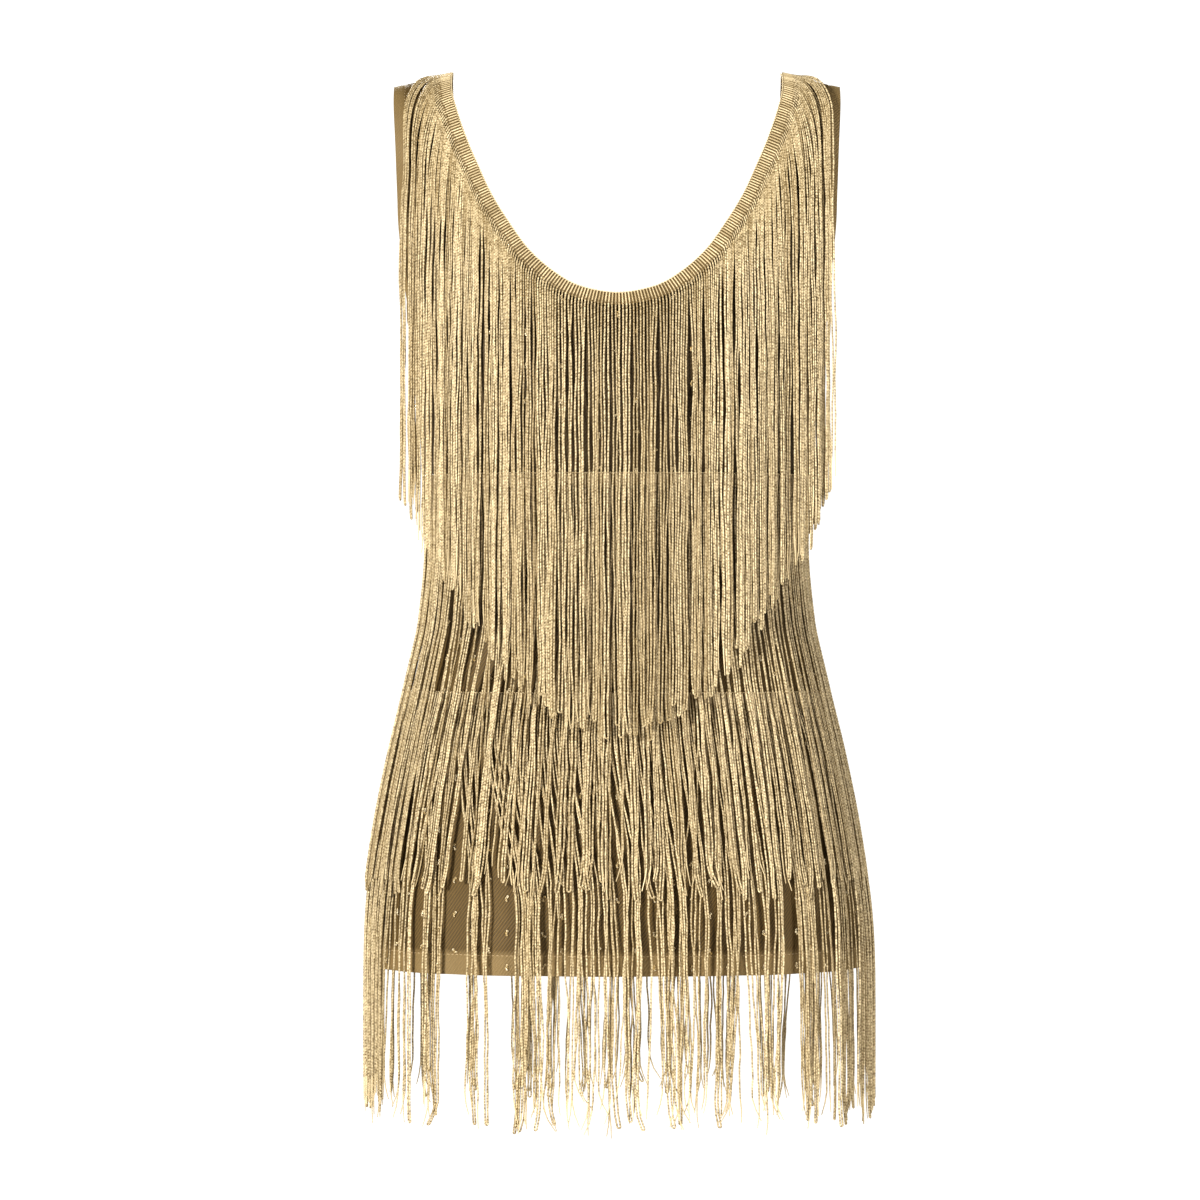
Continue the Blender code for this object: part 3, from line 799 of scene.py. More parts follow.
def sway(rng, length, lean):
    """How far a strand's rings stray sideways: small waves, a slow lean below and a bent end."""
    share = leg_shares()
    waves = wander(rng, share * length, WAVES) * ease(share / WAVES_BY)
    slow = rng.normal(0, lean) * begun(share, LEAN_FROM, LEAN_OVER)
    bent = rng.normal(0, lean) * np.clip((share - BENT_FROM) / BENT_OVER, 0, 1) ** 2
    return waves + slow + bent


def pair_sways(rng, length, lean, cut):
    """The sideways strays of a loop's two legs, which part at the end only where the loop was cut."""
    shared = sway(rng, length, lean)
    if cut:
        return [shared + sway(rng, length, lean) for leg in range(2)]
    share = leg_shares()
    apart = ease(share / WAVES_BY) * (1 - begun(share, TOGETHER_FROM, TOGETHER_OVER))
    return [shared + wander(rng, share * length, WAVES) * apart for leg in range(2)]


class Ring:
    """A level tier of fringe: the surface it hangs on, and lengths and places round it."""

    def __init__(self, tier):
        self.tier = tier
        self.drops = np.linspace(-tier.level, -TIP_LEVELS, RING_LEVELS)
        plumb = {
            column: np.maximum.accumulate(section(column, -self.drops))
            for column in ("half_width", "front", "back")
        }
        plumb["half_width"] = mix(plumb["half_width"], section("half_width", -self.drops), WAIST_TUCK)
        self.sizes = plumb
        self.fine = np.linspace(0, 1, RING_TURNS)
        self.lengths = lengths_of(self.point(self.fine, np.full_like(self.fine, tier.level)))
        self.girth = self.lengths[-1]

    def size(self, column, level):
        return np.interp(-level, self.drops, self.sizes[column])

    def point(self, turns, level):
        """Points of the hanging surface at shares of the way round, which starts at the left side seam."""
        half = turns % 1.0 * 2
        front = half < 1
        angle = np.where(front, half - 0.5, 1.5 - half) * math.pi
        depth = np.where(front, -self.size("front", level), self.size("back", level))
        depth = depth * depth_share(angle, HEM_DOWN)
        return np.stack([self.size("half_width", level) * np.sin(angle), depth, level], axis=-1)

    def out(self, turns, level):
        along = self.point(turns + SMALL, level) - self.point(turns - SMALL, level)
        return unit(np.cross(along, (0, 0, 1)))

    def turns_at(self, length):
        return np.interp(length, self.lengths, self.fine)

    def span(self, side):
        """The lengths round at which the front or the back begins and ends."""
        half = float(np.interp(0.5, self.fine, self.lengths))
        return (0, half) if side == FRONT else (half, self.girth)

    def front_turns(self, x, level):
        """The share of the way round at which the front is x to the side."""
        return 0.25 + np.arcsin(np.clip(x / self.size("half_width", level), -1, 1)) / math.tau

    def leg(self, root, tip, length, layer, stray):
        """The points of one strand, down across the tape and then free."""
        tier = self.tier
        tape = tier.level - np.linspace(TAPE_EDGE, TAPE_HEIGHT, RIB_RINGS + 1)[:-1]
        share = leg_shares()
        level = np.concatenate([tape, tier.level - TAPE_HEIGHT - share * length])
        hang = np.concatenate([np.zeros(RIB_RINGS), share])
        lifted = ease((tier.level - level) / (tier.level - tier.lifted_by))
        lift = mix(RIB_LIFT, tier.lift + STRAND, lifted) + layer * ease(hang / LAYERED_BY)
        sideways = np.concatenate([np.zeros(RIB_RINGS), stray]) / self.girth
        turns = mix(root, tip, ease(hang / tier.gathered)) + sideways
        points = self.point(turns, level)
        if tier is HIP:
            right = np.clip(points[:, 0] / self.size("half_width", level), 0, 1)
            lift = lift + FLARE * right**FLARE_POWER * begun(hang, FLARE_FROM, FLARE_OVER)
        return points + self.out(turns, level) * lift[:, None]


class Neck:
    """The neck's edge on one side of the dress, from the left shoulder to the right, by length of cloth."""

    def __init__(self, side):
        self.side = side
        half = neck_curve(side)
        self.curve = np.concatenate([half[:0:-1] * (-1, 1), half])
        self.lengths = lengths_of(body_point(side, *self.curve.T))
        self.length = self.lengths[-1]

    def edge(self, length):
        return along_line(self.curve, self.lengths, np.clip(length, 0, self.length))

    def tape(self, length, width):
        """(angle, down) of the cloth a width in from the neck's edge, square to it."""
        angle, down = self.edge(length).T
        beside = (self.edge(length + step) for step in (-EDGE_STEP, EDGE_STEP))
        before, after = (body_point(self.side, *places.T) for places in beside)
        away = unit(np.cross(after - before, body_normal(self.side, angle, down)))
        _, down_body = body_slopes(self.side, angle, down)
        outward = np.sum(away * down_body, axis=-1) + away[:, 0] * np.sign(angle)
        away *= np.where(outward < 0, -1, 1)[:, None]
        return moved_on_cloth(self.side, angle, down, away * np.reshape(width, (-1, 1)))

    def near_shoulder(self, length):
        return np.abs(2 * length / self.length - 1) ** SPREAD_POWER

    def leg(self, length, strand, shift, layer, stray):
        """The points of one strand, down across the tape, then over the cloth and free."""
        side = self.side
        near = self.near_shoulder(length)
        length = np.array([length])
        widths = np.linspace(TAPE_EDGE, TAPE_HEIGHT, RIB_RINGS + 1)
        rib = np.concatenate([self.tape(length, width) for width in widths])
        rib_points = body_point(side, *rib.T) + body_normal(side, *rib.T) * RIB_LIFT
        root, root_point = rib[-1], body_point(side, *rib[-1])
        rib_run = root_point - body_point(side, *rib[-2])
        sideways = unit(rib_run)[0]
        downward = (root[1] - rib[-2][1]) / np.linalg.norm(rib_run)
        start_x = root_point[0]
        shoulder_x = abs(body_point(side, *self.tape(np.zeros(1), TAPE_HEIGHT)[0])[0])
        spread = math.copysign((SHOULDER_SPREAD - shoulder_x) * near, start_x)
        fallen = np.linspace(0, strand, FALL_POINTS)
        curl = CURL_LENGTH * (1 - np.exp(-fallen / CURL_LENGTH))
        fan = 1 - (1 - np.minimum(fallen / FAN_LENGTH, 1)) ** 2
        x = start_x + sideways * curl + (spread - sideways * CURL_LENGTH) * fan
        x = x + shift * ease(fallen / SHIFTED_BY) + np.interp(fallen / strand, leg_shares(), stray)
        if side == FRONT:
            x = x + SHOULDER_LEAN * near * begun(fallen, SHOULDER_LEAN_FROM, SHOULDER_LEAN_OVER)
        down = root[1] + fallen - (1 - downward) * curl
        drop = drop_of(down)
        angle = angle_at(x, down)
        lift = mix(RIB_LIFT, STRAND_LIFT + STRAND, ease(fallen / LIFTED_WITHIN))
        if side == BACK:
            lift = lift + 2 * FRINGE_LAYER * ease(drop / BACK_LAYERS_BY)
        lift = lift + layer * ease(fallen / NECK_LAYERED_BY)
        normal = body_normal(side, angle, down)
        points = body_point(side, angle, down) + normal * lift[:, None]
        reach = np.abs(points[:, 1])
        held = (np.abs(x) < section("half_width", -drop)) & (reach >= np.maximum.accumulate(reach))
        held[0] = True
        last = np.maximum.accumulate(np.where(held, np.arange(len(x)), 0))
        flat = unit(normal[last] * (1, 1, 0))
        hanging = np.stack([x + flat[:, 0] * lift, side * reach[last], points[:, 2]], axis=-1)
        points = np.where(held[:, None], points, hanging)
        lengths = lengths_of(points)
        free = along_line(points, lengths, leg_shares() * min(strand, lengths[-1]))
        return np.concatenate([rib_points[:-1], free])


def looped(left, right):
    """One line down a strand, round the small loop at its end and up the next strand."""
    middle, reach = (left[-1] + right[-1]) / 2, (left[-1] - right[-1]) / 2
    fall = unit(left[-1] - left[-3] + right[-1] - right[-3])
    turn = np.linspace(0, math.pi, LOOP_RINGS + 2)[1:-1, None]
    bottom = middle + np.cos(turn) * reach + np.sin(turn) * np.linalg.norm(reach) * fall
    return np.concatenate([left, bottom, right[::-1]])


def grouped(rng, count, pitch, tightness):
    """How far each of a row of loops moves sideways to lie closer to its neighbours in small groups."""
    moves = np.zeros(count)
    start = 0
    while start < count:
        size = int(rng.integers(SMALLEST_GROUP, LARGEST_GROUP + 1))
        end = min(start + size, count)
        middle = (start + end - 1) / 2
        for k in range(start, end):
            moves[k] = (middle - k) * pitch * tightness
        start = end
    return moves


def hip_tips(ring, count, side):
    """Where one side's loops hang by the table, and how far each moves to its clump's middle further down."""
    total = sum(clump.strands for clump in HIP_CLUMPS)
    ends = np.cumsum([0, *(clump.strands for clump in HIP_CLUMPS)]) / total
    scale = 1 if side == FRONT else BACK_CLUMP_SCALE
    last = len(HIP_CLUMPS) - 1
    turns, moves = [], []
    for k in range(count):
        share = (k + 0.5) / count
        i = int(np.clip(np.searchsorted(ends, share, side="right") - 1, 0, last))
        clump = HIP_CLUMPS[i]
        inside = (share - ends[i]) / (ends[i + 1] - ends[i])
        edges = np.array((clump.left, clump.right)) * scale
        left, right = ring.front_turns(edges, np.full(2, TIP_LEVELS))
        if i == 0:
            left = 0.0
        if i == last:
            right = 0.5
        turn = float(mix(left, right, inside))
        taper = TAPER if clump.strands <= FULL_CLUMP else FULL_TAPER
        turns.append(turn)
        moves.append(((left + right) / 2 - turn) * taper * ring.girth)
    turns, moves = np.array(turns), np.array(moves)
    return (turns, moves) if side == FRONT else (1 - turns[::-1], -moves[::-1])


def clumped(rng, turns, girth, widths, tightness):
    """The same places drawn together into clumps of random widths."""
    moved = np.array(turns)
    start = turns[0]
    while start < turns[-1]:
        width = rng.uniform(*widths) / girth
        inside = (turns >= start) & (turns < start + width)
        middle = start + width / 2 + rng.normal(0, CLUMP_STRAY) / girth
        pull = tightness * rng.uniform(*PULL_CHANGE)
        moved[inside] = mix(turns[inside], middle, pull)
        start += width
    return moved


def loop_yarns(legs, depth, cut):
    """A loop's one yarn, or two where the loop was cut at its end."""
    return [Yarn(leg, depth) for leg in legs] if cut else [Yarn(looped(*legs), depth)]


def ring_lines(tier, side, seed):
    """The lines of a level tier's loops on the front or the back of the dress."""
    rng = np.random.default_rng(seed)
    ring = Ring(tier)
    start, end = ring.span(side)
    count = round((end - start) / (2 * STRAND_PITCH))
    pitch = (end - start) / count
    roots = start + (np.arange(count) + 0.5) * pitch
    if tier is HIP:
        tip_turns, moves = hip_tips(ring, count, side)
    else:
        tip_turns = clumped(rng, ring.turns_at(roots), ring.girth, WAIST_CLUMPS, WAIST_PULL)
        moves = np.zeros(count)
    lines = []
    for k in range(count):
        goes_astray = side == FRONT and rng.random() < STRAY_SHARE
        astray = rng.uniform(-STRAY_REACH, STRAY_REACH) if goes_astray else 0
        tip = tip_turns[k] + (rng.normal(0, TIP_STRAY) + astray) / ring.girth
        near_seam = abs(2 * (k + 0.5) / count - 1) ** NEAR_SEAM_POWER
        shorter = SIDE_SHORTER * near_seam if tier is HIP else 0
        length = tier.strand + min(rng.normal(0, LENGTH_STRAY), LONGEST) - shorter
        layer = rng.uniform(0, tier.layers)
        cut = rng.random() < tier.cut_ends
        open_by = rng.choice((-1, 1)) * rng.uniform(*(CUT_OPENING if cut else LOOP_OPENING))
        drawn = moves[k] * begun(leg_shares(), CLUMPED_FROM, CLUMPED_OVER)
        legs = []
        for sign, stray in zip((-1, 1), pair_sways(rng, length, tier.lean, cut)):
            root = ring.turns_at(roots[k] + sign * pitch / 4)
            own_layer = layer + rng.uniform(0, LEG_LAYER)
            own_length = length + (rng.uniform(*CUT_CHANGE) if cut else 0)
            own_tip = tip + sign * open_by / ring.girth
            legs.append(ring.leg(root, own_tip, own_length, own_layer, stray + drawn))
        lines += loop_yarns(legs, 1 - layer / tier.layers, cut)
    return lines, ring


def neck_lines(side, seed):
    """The lines of the neck fringe's loops on one side of the dress."""
    rng = np.random.default_rng(seed)
    neck = Neck(side)
    count = round(neck.length / (2 * STRAND_PITCH))
    pitch = neck.length / count
    groups = grouped(rng, count, pitch, NECK_PULL)
    lines = []
    for k in range(count):
        middle = (k + 0.5) * pitch
        near = neck.near_shoulder(middle)
        strand = mix(NECK_STRAND, SHOULDER_STRAND, math.sqrt(near)) + rng.normal(0, NECK_LENGTH_STRAY)
        layers = mix(NECK_LAYERS, SHOULDER_LAYERS, near)
        layer = rng.uniform(0, layers)
        shift = groups[k] * mix(1, SHOULDER_PULL, near) + rng.normal(0, NECK_STRAY)
        cut = rng.random() < NECK_CUT_ENDS
        open_by = rng.uniform(*(NECK_CUT_OPENING if cut else NECK_LOOP_OPENING))
        legs = []
        for sign, stray in zip((-1, 1), pair_sways(rng, strand, NECK_LEAN, cut)):
            own_layer = layer + rng.uniform(0, NECK_LEG_LAYER)
            own_strand = strand + (rng.uniform(*NECK_CUT_CHANGE) if cut else 0)
            place = middle + sign * pitch / 4
            legs.append(neck.leg(place, own_strand, shift + sign * open_by, own_layer, stray))
        lines += loop_yarns(legs, 1 - layer / layers, cut)
    return lines, neck


def scallop_line(point_at, start, end):
    """The tape's upper edge: a thread that makes a tiny arch over every strand's top."""
    count = SCALLOP_POINTS * round((end - start) / STRAND_PITCH) + 1
    rise = np.abs(np.sin(math.pi * np.arange(count) / SCALLOP_POINTS))
    return point_at(np.linspace(start, end, count), RIB_LIFT, SCALLOP_BASE - SCALLOP * rise)


def strand_thickness(rng, line):
    """How thick a strand's yarn is: thinner where the tape draws it in, and frayed where a loop was cut."""
    size = np.full(len(line), STRAND) * rng.uniform(THINNEST, THICKEST)
    size[:RIB_RINGS] = RIB
    if len(line) > RIB_RINGS + LEG_RINGS:
        size[-RIB_RINGS:] = RIB
    else:
        size[-len(FRAYED) :] *= FRAYED
    return size


def line_marks(rng, lines, edge):
    """Every line's marks: how thick it is, how far along each point is, and a painted shade, darker where it
    lies deep, mixed with a random tone.
    """
    marks = {"thickness": [], "along": [], "tone": []}
    for line, depth in lines:
        marks["thickness"].append(strand_thickness(rng, line))
        marks["along"].append(lengths_of(line) + rng.uniform(0, MARK_START))
        # Painted shade for strands lying deep, mixed with a random tone
        marks["tone"].append(np.full(len(line), mix(depth, rng.uniform(0, 1), TONE_CHANGE)))
    marks["thickness"].append(np.full(len(edge), TAPE_CHAIN))
    marks["along"].append(lengths_of(edge))
    marks["tone"].append(np.full(len(edge), EDGE_SHADE_AND_TONE))
    return marks


def tape_band(name, point_at, start, end, material):
    """The tape itself, a thin band under the strands' tops."""
    places = np.linspace(start, end, round((end - start) / BAND_CELL) + 1)
    widths = np.linspace(0, TAPE_HEIGHT, BAND_ROWS)
    outer, inner = (
        np.concatenate([point_at(places, lift, width) for width in widths])
        for lift in (BAND_LIFT + BAND_THICKNESS, BAND_LIFT)
    )
    numbers = np.arange(len(outer)).reshape(BAND_ROWS, -1)
    a, b, c, d = numbers[:-1, :-1], numbers[1:, :-1], numbers[1:, 1:], numbers[:-1, 1:]
    quads = np.stack([a, b, c, d], axis=-1).reshape(-1, 4)
    corners = outer[quads[0]]
    facing = np.cross(corners[1] - corners[0], corners[3] - corners[0])
    if np.dot(facing, outer[0] - inner[0]) < 0:
        quads = quads[:, ::-1]
    uv = np.stack(np.meshgrid(places, widths), axis=-1).reshape(-1, 2)
    mesh = wall_mesh(name, outer, inner, quads, uv, {})
    mesh.materials.append(material)
    return new_object(name, mesh)


def fringe_pieces(name, lines, point_at, span, materials, yarn, seed):
    """The strands with the tape's chains, and the band under them."""
    rng = np.random.default_rng(seed)
    edge = scallop_line(point_at, *span)
    strands = [line.points for line in lines]
    fringe = lines_object(name, [*strands, edge], line_marks(rng, lines, edge))
    run_tree(fringe, yarn, {"Sides": STRAND_SIDES, "Material": materials["fringe"]})
    band = tape_band(f"{name}_tape", point_at, *span, materials["tape"])
    return fringe, band


def ring_point_at(ring):
    def at(length, lift, width=0.0):
        turns = ring.turns_at(length)
        level = np.full_like(turns, ring.tier.level - width)
        out = ring.out(turns, level)
        return ring.point(turns, level) + out * np.reshape(lift, (-1, 1))

    return at


def neck_point_at(neck):
    def at(length, lift, width=0.0):
        places = neck.tape(length, width)
        normal = body_normal(neck.side, *places.T)
        return body_point(neck.side, *places.T) + normal * np.reshape(lift, (-1, 1))

    return at


# Beads and sewing


def ring_of_faces(radius, hole, rings, sides):
    """A small torus as (points, faces), lying flat."""
    big, thick = (radius + hole) / 2, (radius - hole) / 2
    points = []
    for i in range(rings):
        for k in range(sides):
            a, b = math.tau * i / rings, math.tau * k / sides
            across = big + thick * math.cos(b)
            points.append((across * math.cos(a), across * math.sin(a), thick * math.sin(b)))
    faces = []
    for i in range(rings):
        for k in range(sides):
            j, m = (i + 1) % rings, (k + 1) % sides
            faces.append((i * sides + k, j * sides + k, j * sides + m, i * sides + m))
    return np.array(points), faces


def bead_cluster():
    """Three seed beads sewn in a little row, each turned its own way."""
    points, faces, count = [], [], 0
    ring, ring_faces = ring_of_faces(BEAD / 2, BEAD_HOLE / 2, BEAD_RINGS, BEAD_SIDES)
    for bead in CLUSTER:
        cos, sin = math.cos(bead.tilt), math.sin(bead.tilt)
        turned = ring @ np.array([[cos, 0, -sin], [0, 1, 0], [sin, 0, cos]])
        points.append(turned + (bead.x, bead.y, BEAD_RISE))
        faces += [tuple(n + count for n in face) for face in ring_faces]
        count += len(ring)
    mesh = bpy.data.meshes.new("bead_cluster")
    mesh.from_pydata(np.concatenate(points).tolist(), [], faces)
    mesh.shade_smooth()
    return new_object("bead_cluster", mesh)


def stitch_shape():
    """One stitch: a short thread that rises out of the cloth and goes back in."""
    rings, sides = STITCH_RINGS, STITCH_SIDES
    points, faces = [], []
    for i in range(rings):
        t = i / (rings - 1)
        thick = THREAD * math.sin(math.pi * mix(THIN_ENDS, 1 - THIN_ENDS, t))
        rise = THREAD * (STITCH_ARCH * math.sin(math.pi * t) - STITCH_SINK)
        for k in range(sides):
            a = math.tau * k / sides
            points.append(((t - 0.5) * STITCH_LENGTH, thick * math.cos(a), thick * math.sin(a) + rise))
    for i in range(rings - 1):
        for k in range(sides):
            m = (k + 1) % sides
            faces.append((i * sides + k, i * sides + m, (i + 1) * sides + m, (i + 1) * sides + k))
    faces += [tuple(range(sides))[::-1], tuple((rings - 1) * sides + k for k in range(sides))]
    mesh = bpy.data.meshes.new("stitch")
    mesh.from_pydata(points, [], [face[::-1] for face in faces])
    mesh.shade_smooth()
    return new_object("stitch", mesh)


def cloth_spots(side, seed):
    """(angle, down) of the bead clusters on the front or the back."""
    rng = np.random.default_rng(seed)
    neck, arm = neck_curve(side), arm_curve()
    fine = np.linspace(0, math.pi / 2, ANGLE_POINTS)
    spots = []
    for column in range(-BEAD_COLUMNS, BEAD_COLUMNS + 1):
        offset = BEAD_ROW / 2 if column % 2 else 0
        for row in range(BEAD_ROWS):
            down = FIRST_BEADS + row * BEAD_ROW + offset
            if down > HEM_DOWN - EDGE_MARGIN:
                continue
            reach = lengths_of(body_point(side, fine, np.full_like(fine, down)))
            wanted = abs(column) * BEAD_COLUMN
            if wanted > reach[-1] - EDGE_MARGIN:
                continue
            angle = float(np.interp(wanted, reach, fine))
            half_width = section("half_width", -drop_of(np.array(down)))
            if down < neck[0, 1] + TAPE_HEIGHT + EDGE_MARGIN:
                inner = np.interp(down, neck[::-1, 1], neck[::-1, 0]) if down < neck[0, 1] else 0
                if (angle - inner) * half_width < TAPE_HEIGHT + NECK_MARGIN:
                    continue
            if down < arm[0, 1] + BEAD_MARGIN:
                outer = np.interp(down, arm[::-1, 1], arm[::-1, 0])
                if (outer - angle) * half_width < BEAD_MARGIN:
                    continue
            spots.append((math.copysign(angle, column), down + rng.normal(0, BEAD_STRAY)))
    return np.array(spots)


def sewn_beads(side, tree, shape, material, seed):
    """The bead clusters, set over the whole of one side and each turned its own way."""
    rng = np.random.default_rng(seed)
    angle, down = cloth_spots(side, seed).T
    normal = body_normal(side, angle, down)
    round_body, down_body = body_slopes(side, angle, down)
    lean = rng.normal(0, BEAD_LEAN, len(angle))[:, None]
    run = unit(unit(down_body) * np.cos(lean) + unit(round_body) * np.sin(lean))
    face = body_point(side, angle, down) - normal * trough_depth(side, angle, down)[:, None]
    made = points_object(f"{NAMES[side]}_beads", face, normal, run)
    return run_tree(made, tree, {"Shape": shape, "Material": material})


def sewn_stitches(side, tree, shape, material):
    """The rows of stitches that hold the hem's and the armholes' turned edges."""
    fine = np.linspace(-math.pi / 2, math.pi / 2, HEM_POINTS)[HEM_STITCHED]
    rows = [np.stack([fine, np.full_like(fine, HEM_DOWN - HEM_TURN)], axis=-1)]
    for sign in (-1, 1):
        rows.append(armhole_line(side, sign, ARMHOLE_TURN)[ARMHOLE_STITCHED])
    points, outs, runs = [], [], []
    for row in rows:
        line = body_point(side, *row.T)
        lengths = lengths_of(line)
        at = np.arange(STITCH_GAP / 2, lengths[-1], STITCH_GAP)
        places = along_line(row, lengths, at)
        normal = body_normal(side, *places.T)
        draw = trough_depth(side, *places.T) + STITCH_GROOVE
        points.append(body_point(side, *places.T) - normal * draw[:, None])
        outs.append(normal)
        runs.append(unit(along_line(np.gradient(line, axis=0), lengths, at)))
    name = f"{NAMES[side]}_stitches"
    made = points_object(name, np.concatenate(points), np.concatenate(outs), np.concatenate(runs))
    return run_tree(made, tree, {"Shape": shape, "Material": material})


# Finishes


# Every colour is linear red, green and blue
Sheen = namedtuple("Sheen", "weight roughness tint")
Roughness = namedtuple("Roughness", "low high")
Relief = namedtuple("Relief", "strength distance")

# Noise lies mostly between these two values, which are stretched to the whole range
NOISE_LOW, NOISE_HIGH = 0.3, 0.7
NOISE_DETAIL = 2.0

# The knit: its twill's ridges slant one way and its cells the other, each with its own width in metres
TWILL_SLANT, TWILL_RIDGE = 0.75, 0.0024
CELL_SLANT, TWILL_CELL = 1.3, 0.0019
CELL_SHARE = 0.25
TWILL_CONTRAST, TWILL_BASE = 0.55, 0.15
CLOUDS, SPECKS = 18.0, 260.0
KNIT_LOW = (0.030, 0.0163, 0.0022)
KNIT_HIGH = (0.162, 0.096, 0.0190)
CLOUDED = (0.083, 0.050, 0.0105)
SPECKLED = (0.22, 0.135, 0.030)
TURNED = (0.27, 0.188, 0.080)
# Painted shade: the dark colour of the cloth where the fringe hangs over it
KNIT_PAINTED_SHADE = (0.026, 0.015, 0.002)
CLOUDED_SHARE, SPECKLED_SHARE = 0.30, 0.14
TURNED_SHARE, KNIT_PAINTED_SHADE_SHARE = 0.60, 0.60
KNIT_ROUGHNESS = Roughness(0.62, 0.76)
KNIT_SHEEN = Sheen(0.14, 0.45, (0.95, 0.74, 0.40))
KNIT_RELIEF = Relief(0.5, 0.0004)

# The fringe's yarn: slanting stitches with painted shade in their grooves, a pale or dark speck on each link,
# plain ribs on the tape
STITCH_LEAN = 1.4
STITCH_SOFTNESS = 0.9
STITCH_SHARE, SPECK_SHARE = 0.35, 0.65
TONE_STEPS = 97.0
RIB_HEIGHT = 0.72
DRAWN_TIGHT = mix(RIB, THINNEST * STRAND, 0.5)
YARN_DARK = (0.118, 0.072, 0.018)
YARN_PALE = (0.960, 0.792, 0.500)
# Painted shade for strands that lie deep, mixed with a random tone, blends the yarn towards this colour
YARN_SHADE_AND_TONE = (0.175, 0.108, 0.026)
SHADE_AND_TONE_SHARE = 0.62
YARN_ROUGHNESS = Roughness(0.36, 0.52)
YARN_SHEEN = Sheen(0.18, 0.4, (1.0, 0.92, 0.75))
YARN_RELIEF = Relief(0.6, 0.0004)

# The tape's woven ground, its colours darkened with painted shade where it shows between the strands
TAPE_ROW = 0.0009
TAPE_SHADED_DARK = (0.055, 0.032, 0.006)
TAPE_SHADED_PALE = (0.180, 0.115, 0.036)
TAPE_ROUGHNESS = Roughness(0.6, 0.75)
TAPE_RELIEF = Relief(0.5, 0.0003)

# Beads and sewing thread
BEAD_CHANGE = 300.0
BEAD_CHANGE_LOW, BEAD_CHANGE_HIGH = 0.35, 0.65
BEAD_DEEP = (0.62, 0.44, 0.18)
BEAD_BRIGHT = (0.98, 0.86, 0.62)
BEAD_ROUGHNESS = Roughness(0.14, 0.26)
BEAD_METAL, BEAD_COAT = 0.3, 0.5
THREAD_FIBRES = 900.0
THREAD_DARK = (0.34, 0.24, 0.12)
THREAD_PALE = (0.62, 0.48, 0.29)
THREAD_ROUGHNESS = Roughness(0.45, 0.6)
THREAD_RELIEF = Relief(0.3, 0.0001)


def link(tree, source, target):
    tree.links.new(source, target)


def new_finish(name):
    material = bpy.data.materials.new(name)
    material.use_nodes = True
    return material, material.node_tree, material.node_tree.nodes["Principled BSDF"]


def maths(tree, operation, first, second=0.0):
    return add(tree, "ShaderNodeMath", {0: first, 1: second}, operation=operation).outputs[0]


def added(tree, first, second):
    return maths(tree, "ADD", first, second)


def times(tree, value, factor):
    return maths(tree, "MULTIPLY", value, factor)


def waves(tree, value, period):
    return maths(tree, "SINE", times(tree, value, math.tau / period))


def solid(colour):
    """A colour with its fourth number, or the socket of an earlier blend as it is."""
    return colour if isinstance(colour, bpy.types.NodeSocket) else (*colour, 1)


def blend(tree, share, first, second):
    colours = {0: share, 6: solid(first), 7: solid(second)}
    return add(tree, "ShaderNodeMix", colours, data_type="RGBA").outputs[2]


def noise(tree, scale):
    place = add(tree, "ShaderNodeTexCoord").outputs["Object"]
    settings = {"Vector": place, "Scale": scale, "Detail": NOISE_DETAIL}
    return add(tree, "ShaderNodeTexNoise", settings).outputs["Fac"]


def mark(tree, name, output="Fac"):
    return add(tree, "ShaderNodeAttribute", attribute_name=name).outputs[output]


def on_cloth(tree):
    """The piece's own places across and down its cloth, in metres."""
    uv = add(tree, "ShaderNodeUVMap", uv_map="Cloth").outputs[0]
    split = add(tree, "ShaderNodeSeparateXYZ", {0: uv})
    return split.outputs[0], split.outputs[1]


def stretched(tree, value, low, high):
    return add(tree, "ShaderNodeMapRange", {0: value, 1: low, 2: high, 3: 0.0, 4: 1.0}).outputs[0]


def roughened(tree, shader, share, roughness):
    settings = {0: share, 1: NOISE_LOW, 2: NOISE_HIGH, 3: roughness.low, 4: roughness.high}
    link(tree, add(tree, "ShaderNodeMapRange", settings).outputs[0], shader.inputs["Roughness"])


def raised(tree, shader, height, relief):
    settings = {"Height": height, "Strength": relief.strength, "Distance": relief.distance}
    link(tree, add(tree, "ShaderNodeBump", settings).outputs[0], shader.inputs["Normal"])


def give_sheen(shader, sheen):
    shader.inputs["Sheen Weight"].default_value = sheen.weight
    shader.inputs["Sheen Roughness"].default_value = sheen.roughness
    shader.inputs["Sheen Tint"].default_value = (*sheen.tint, 1)


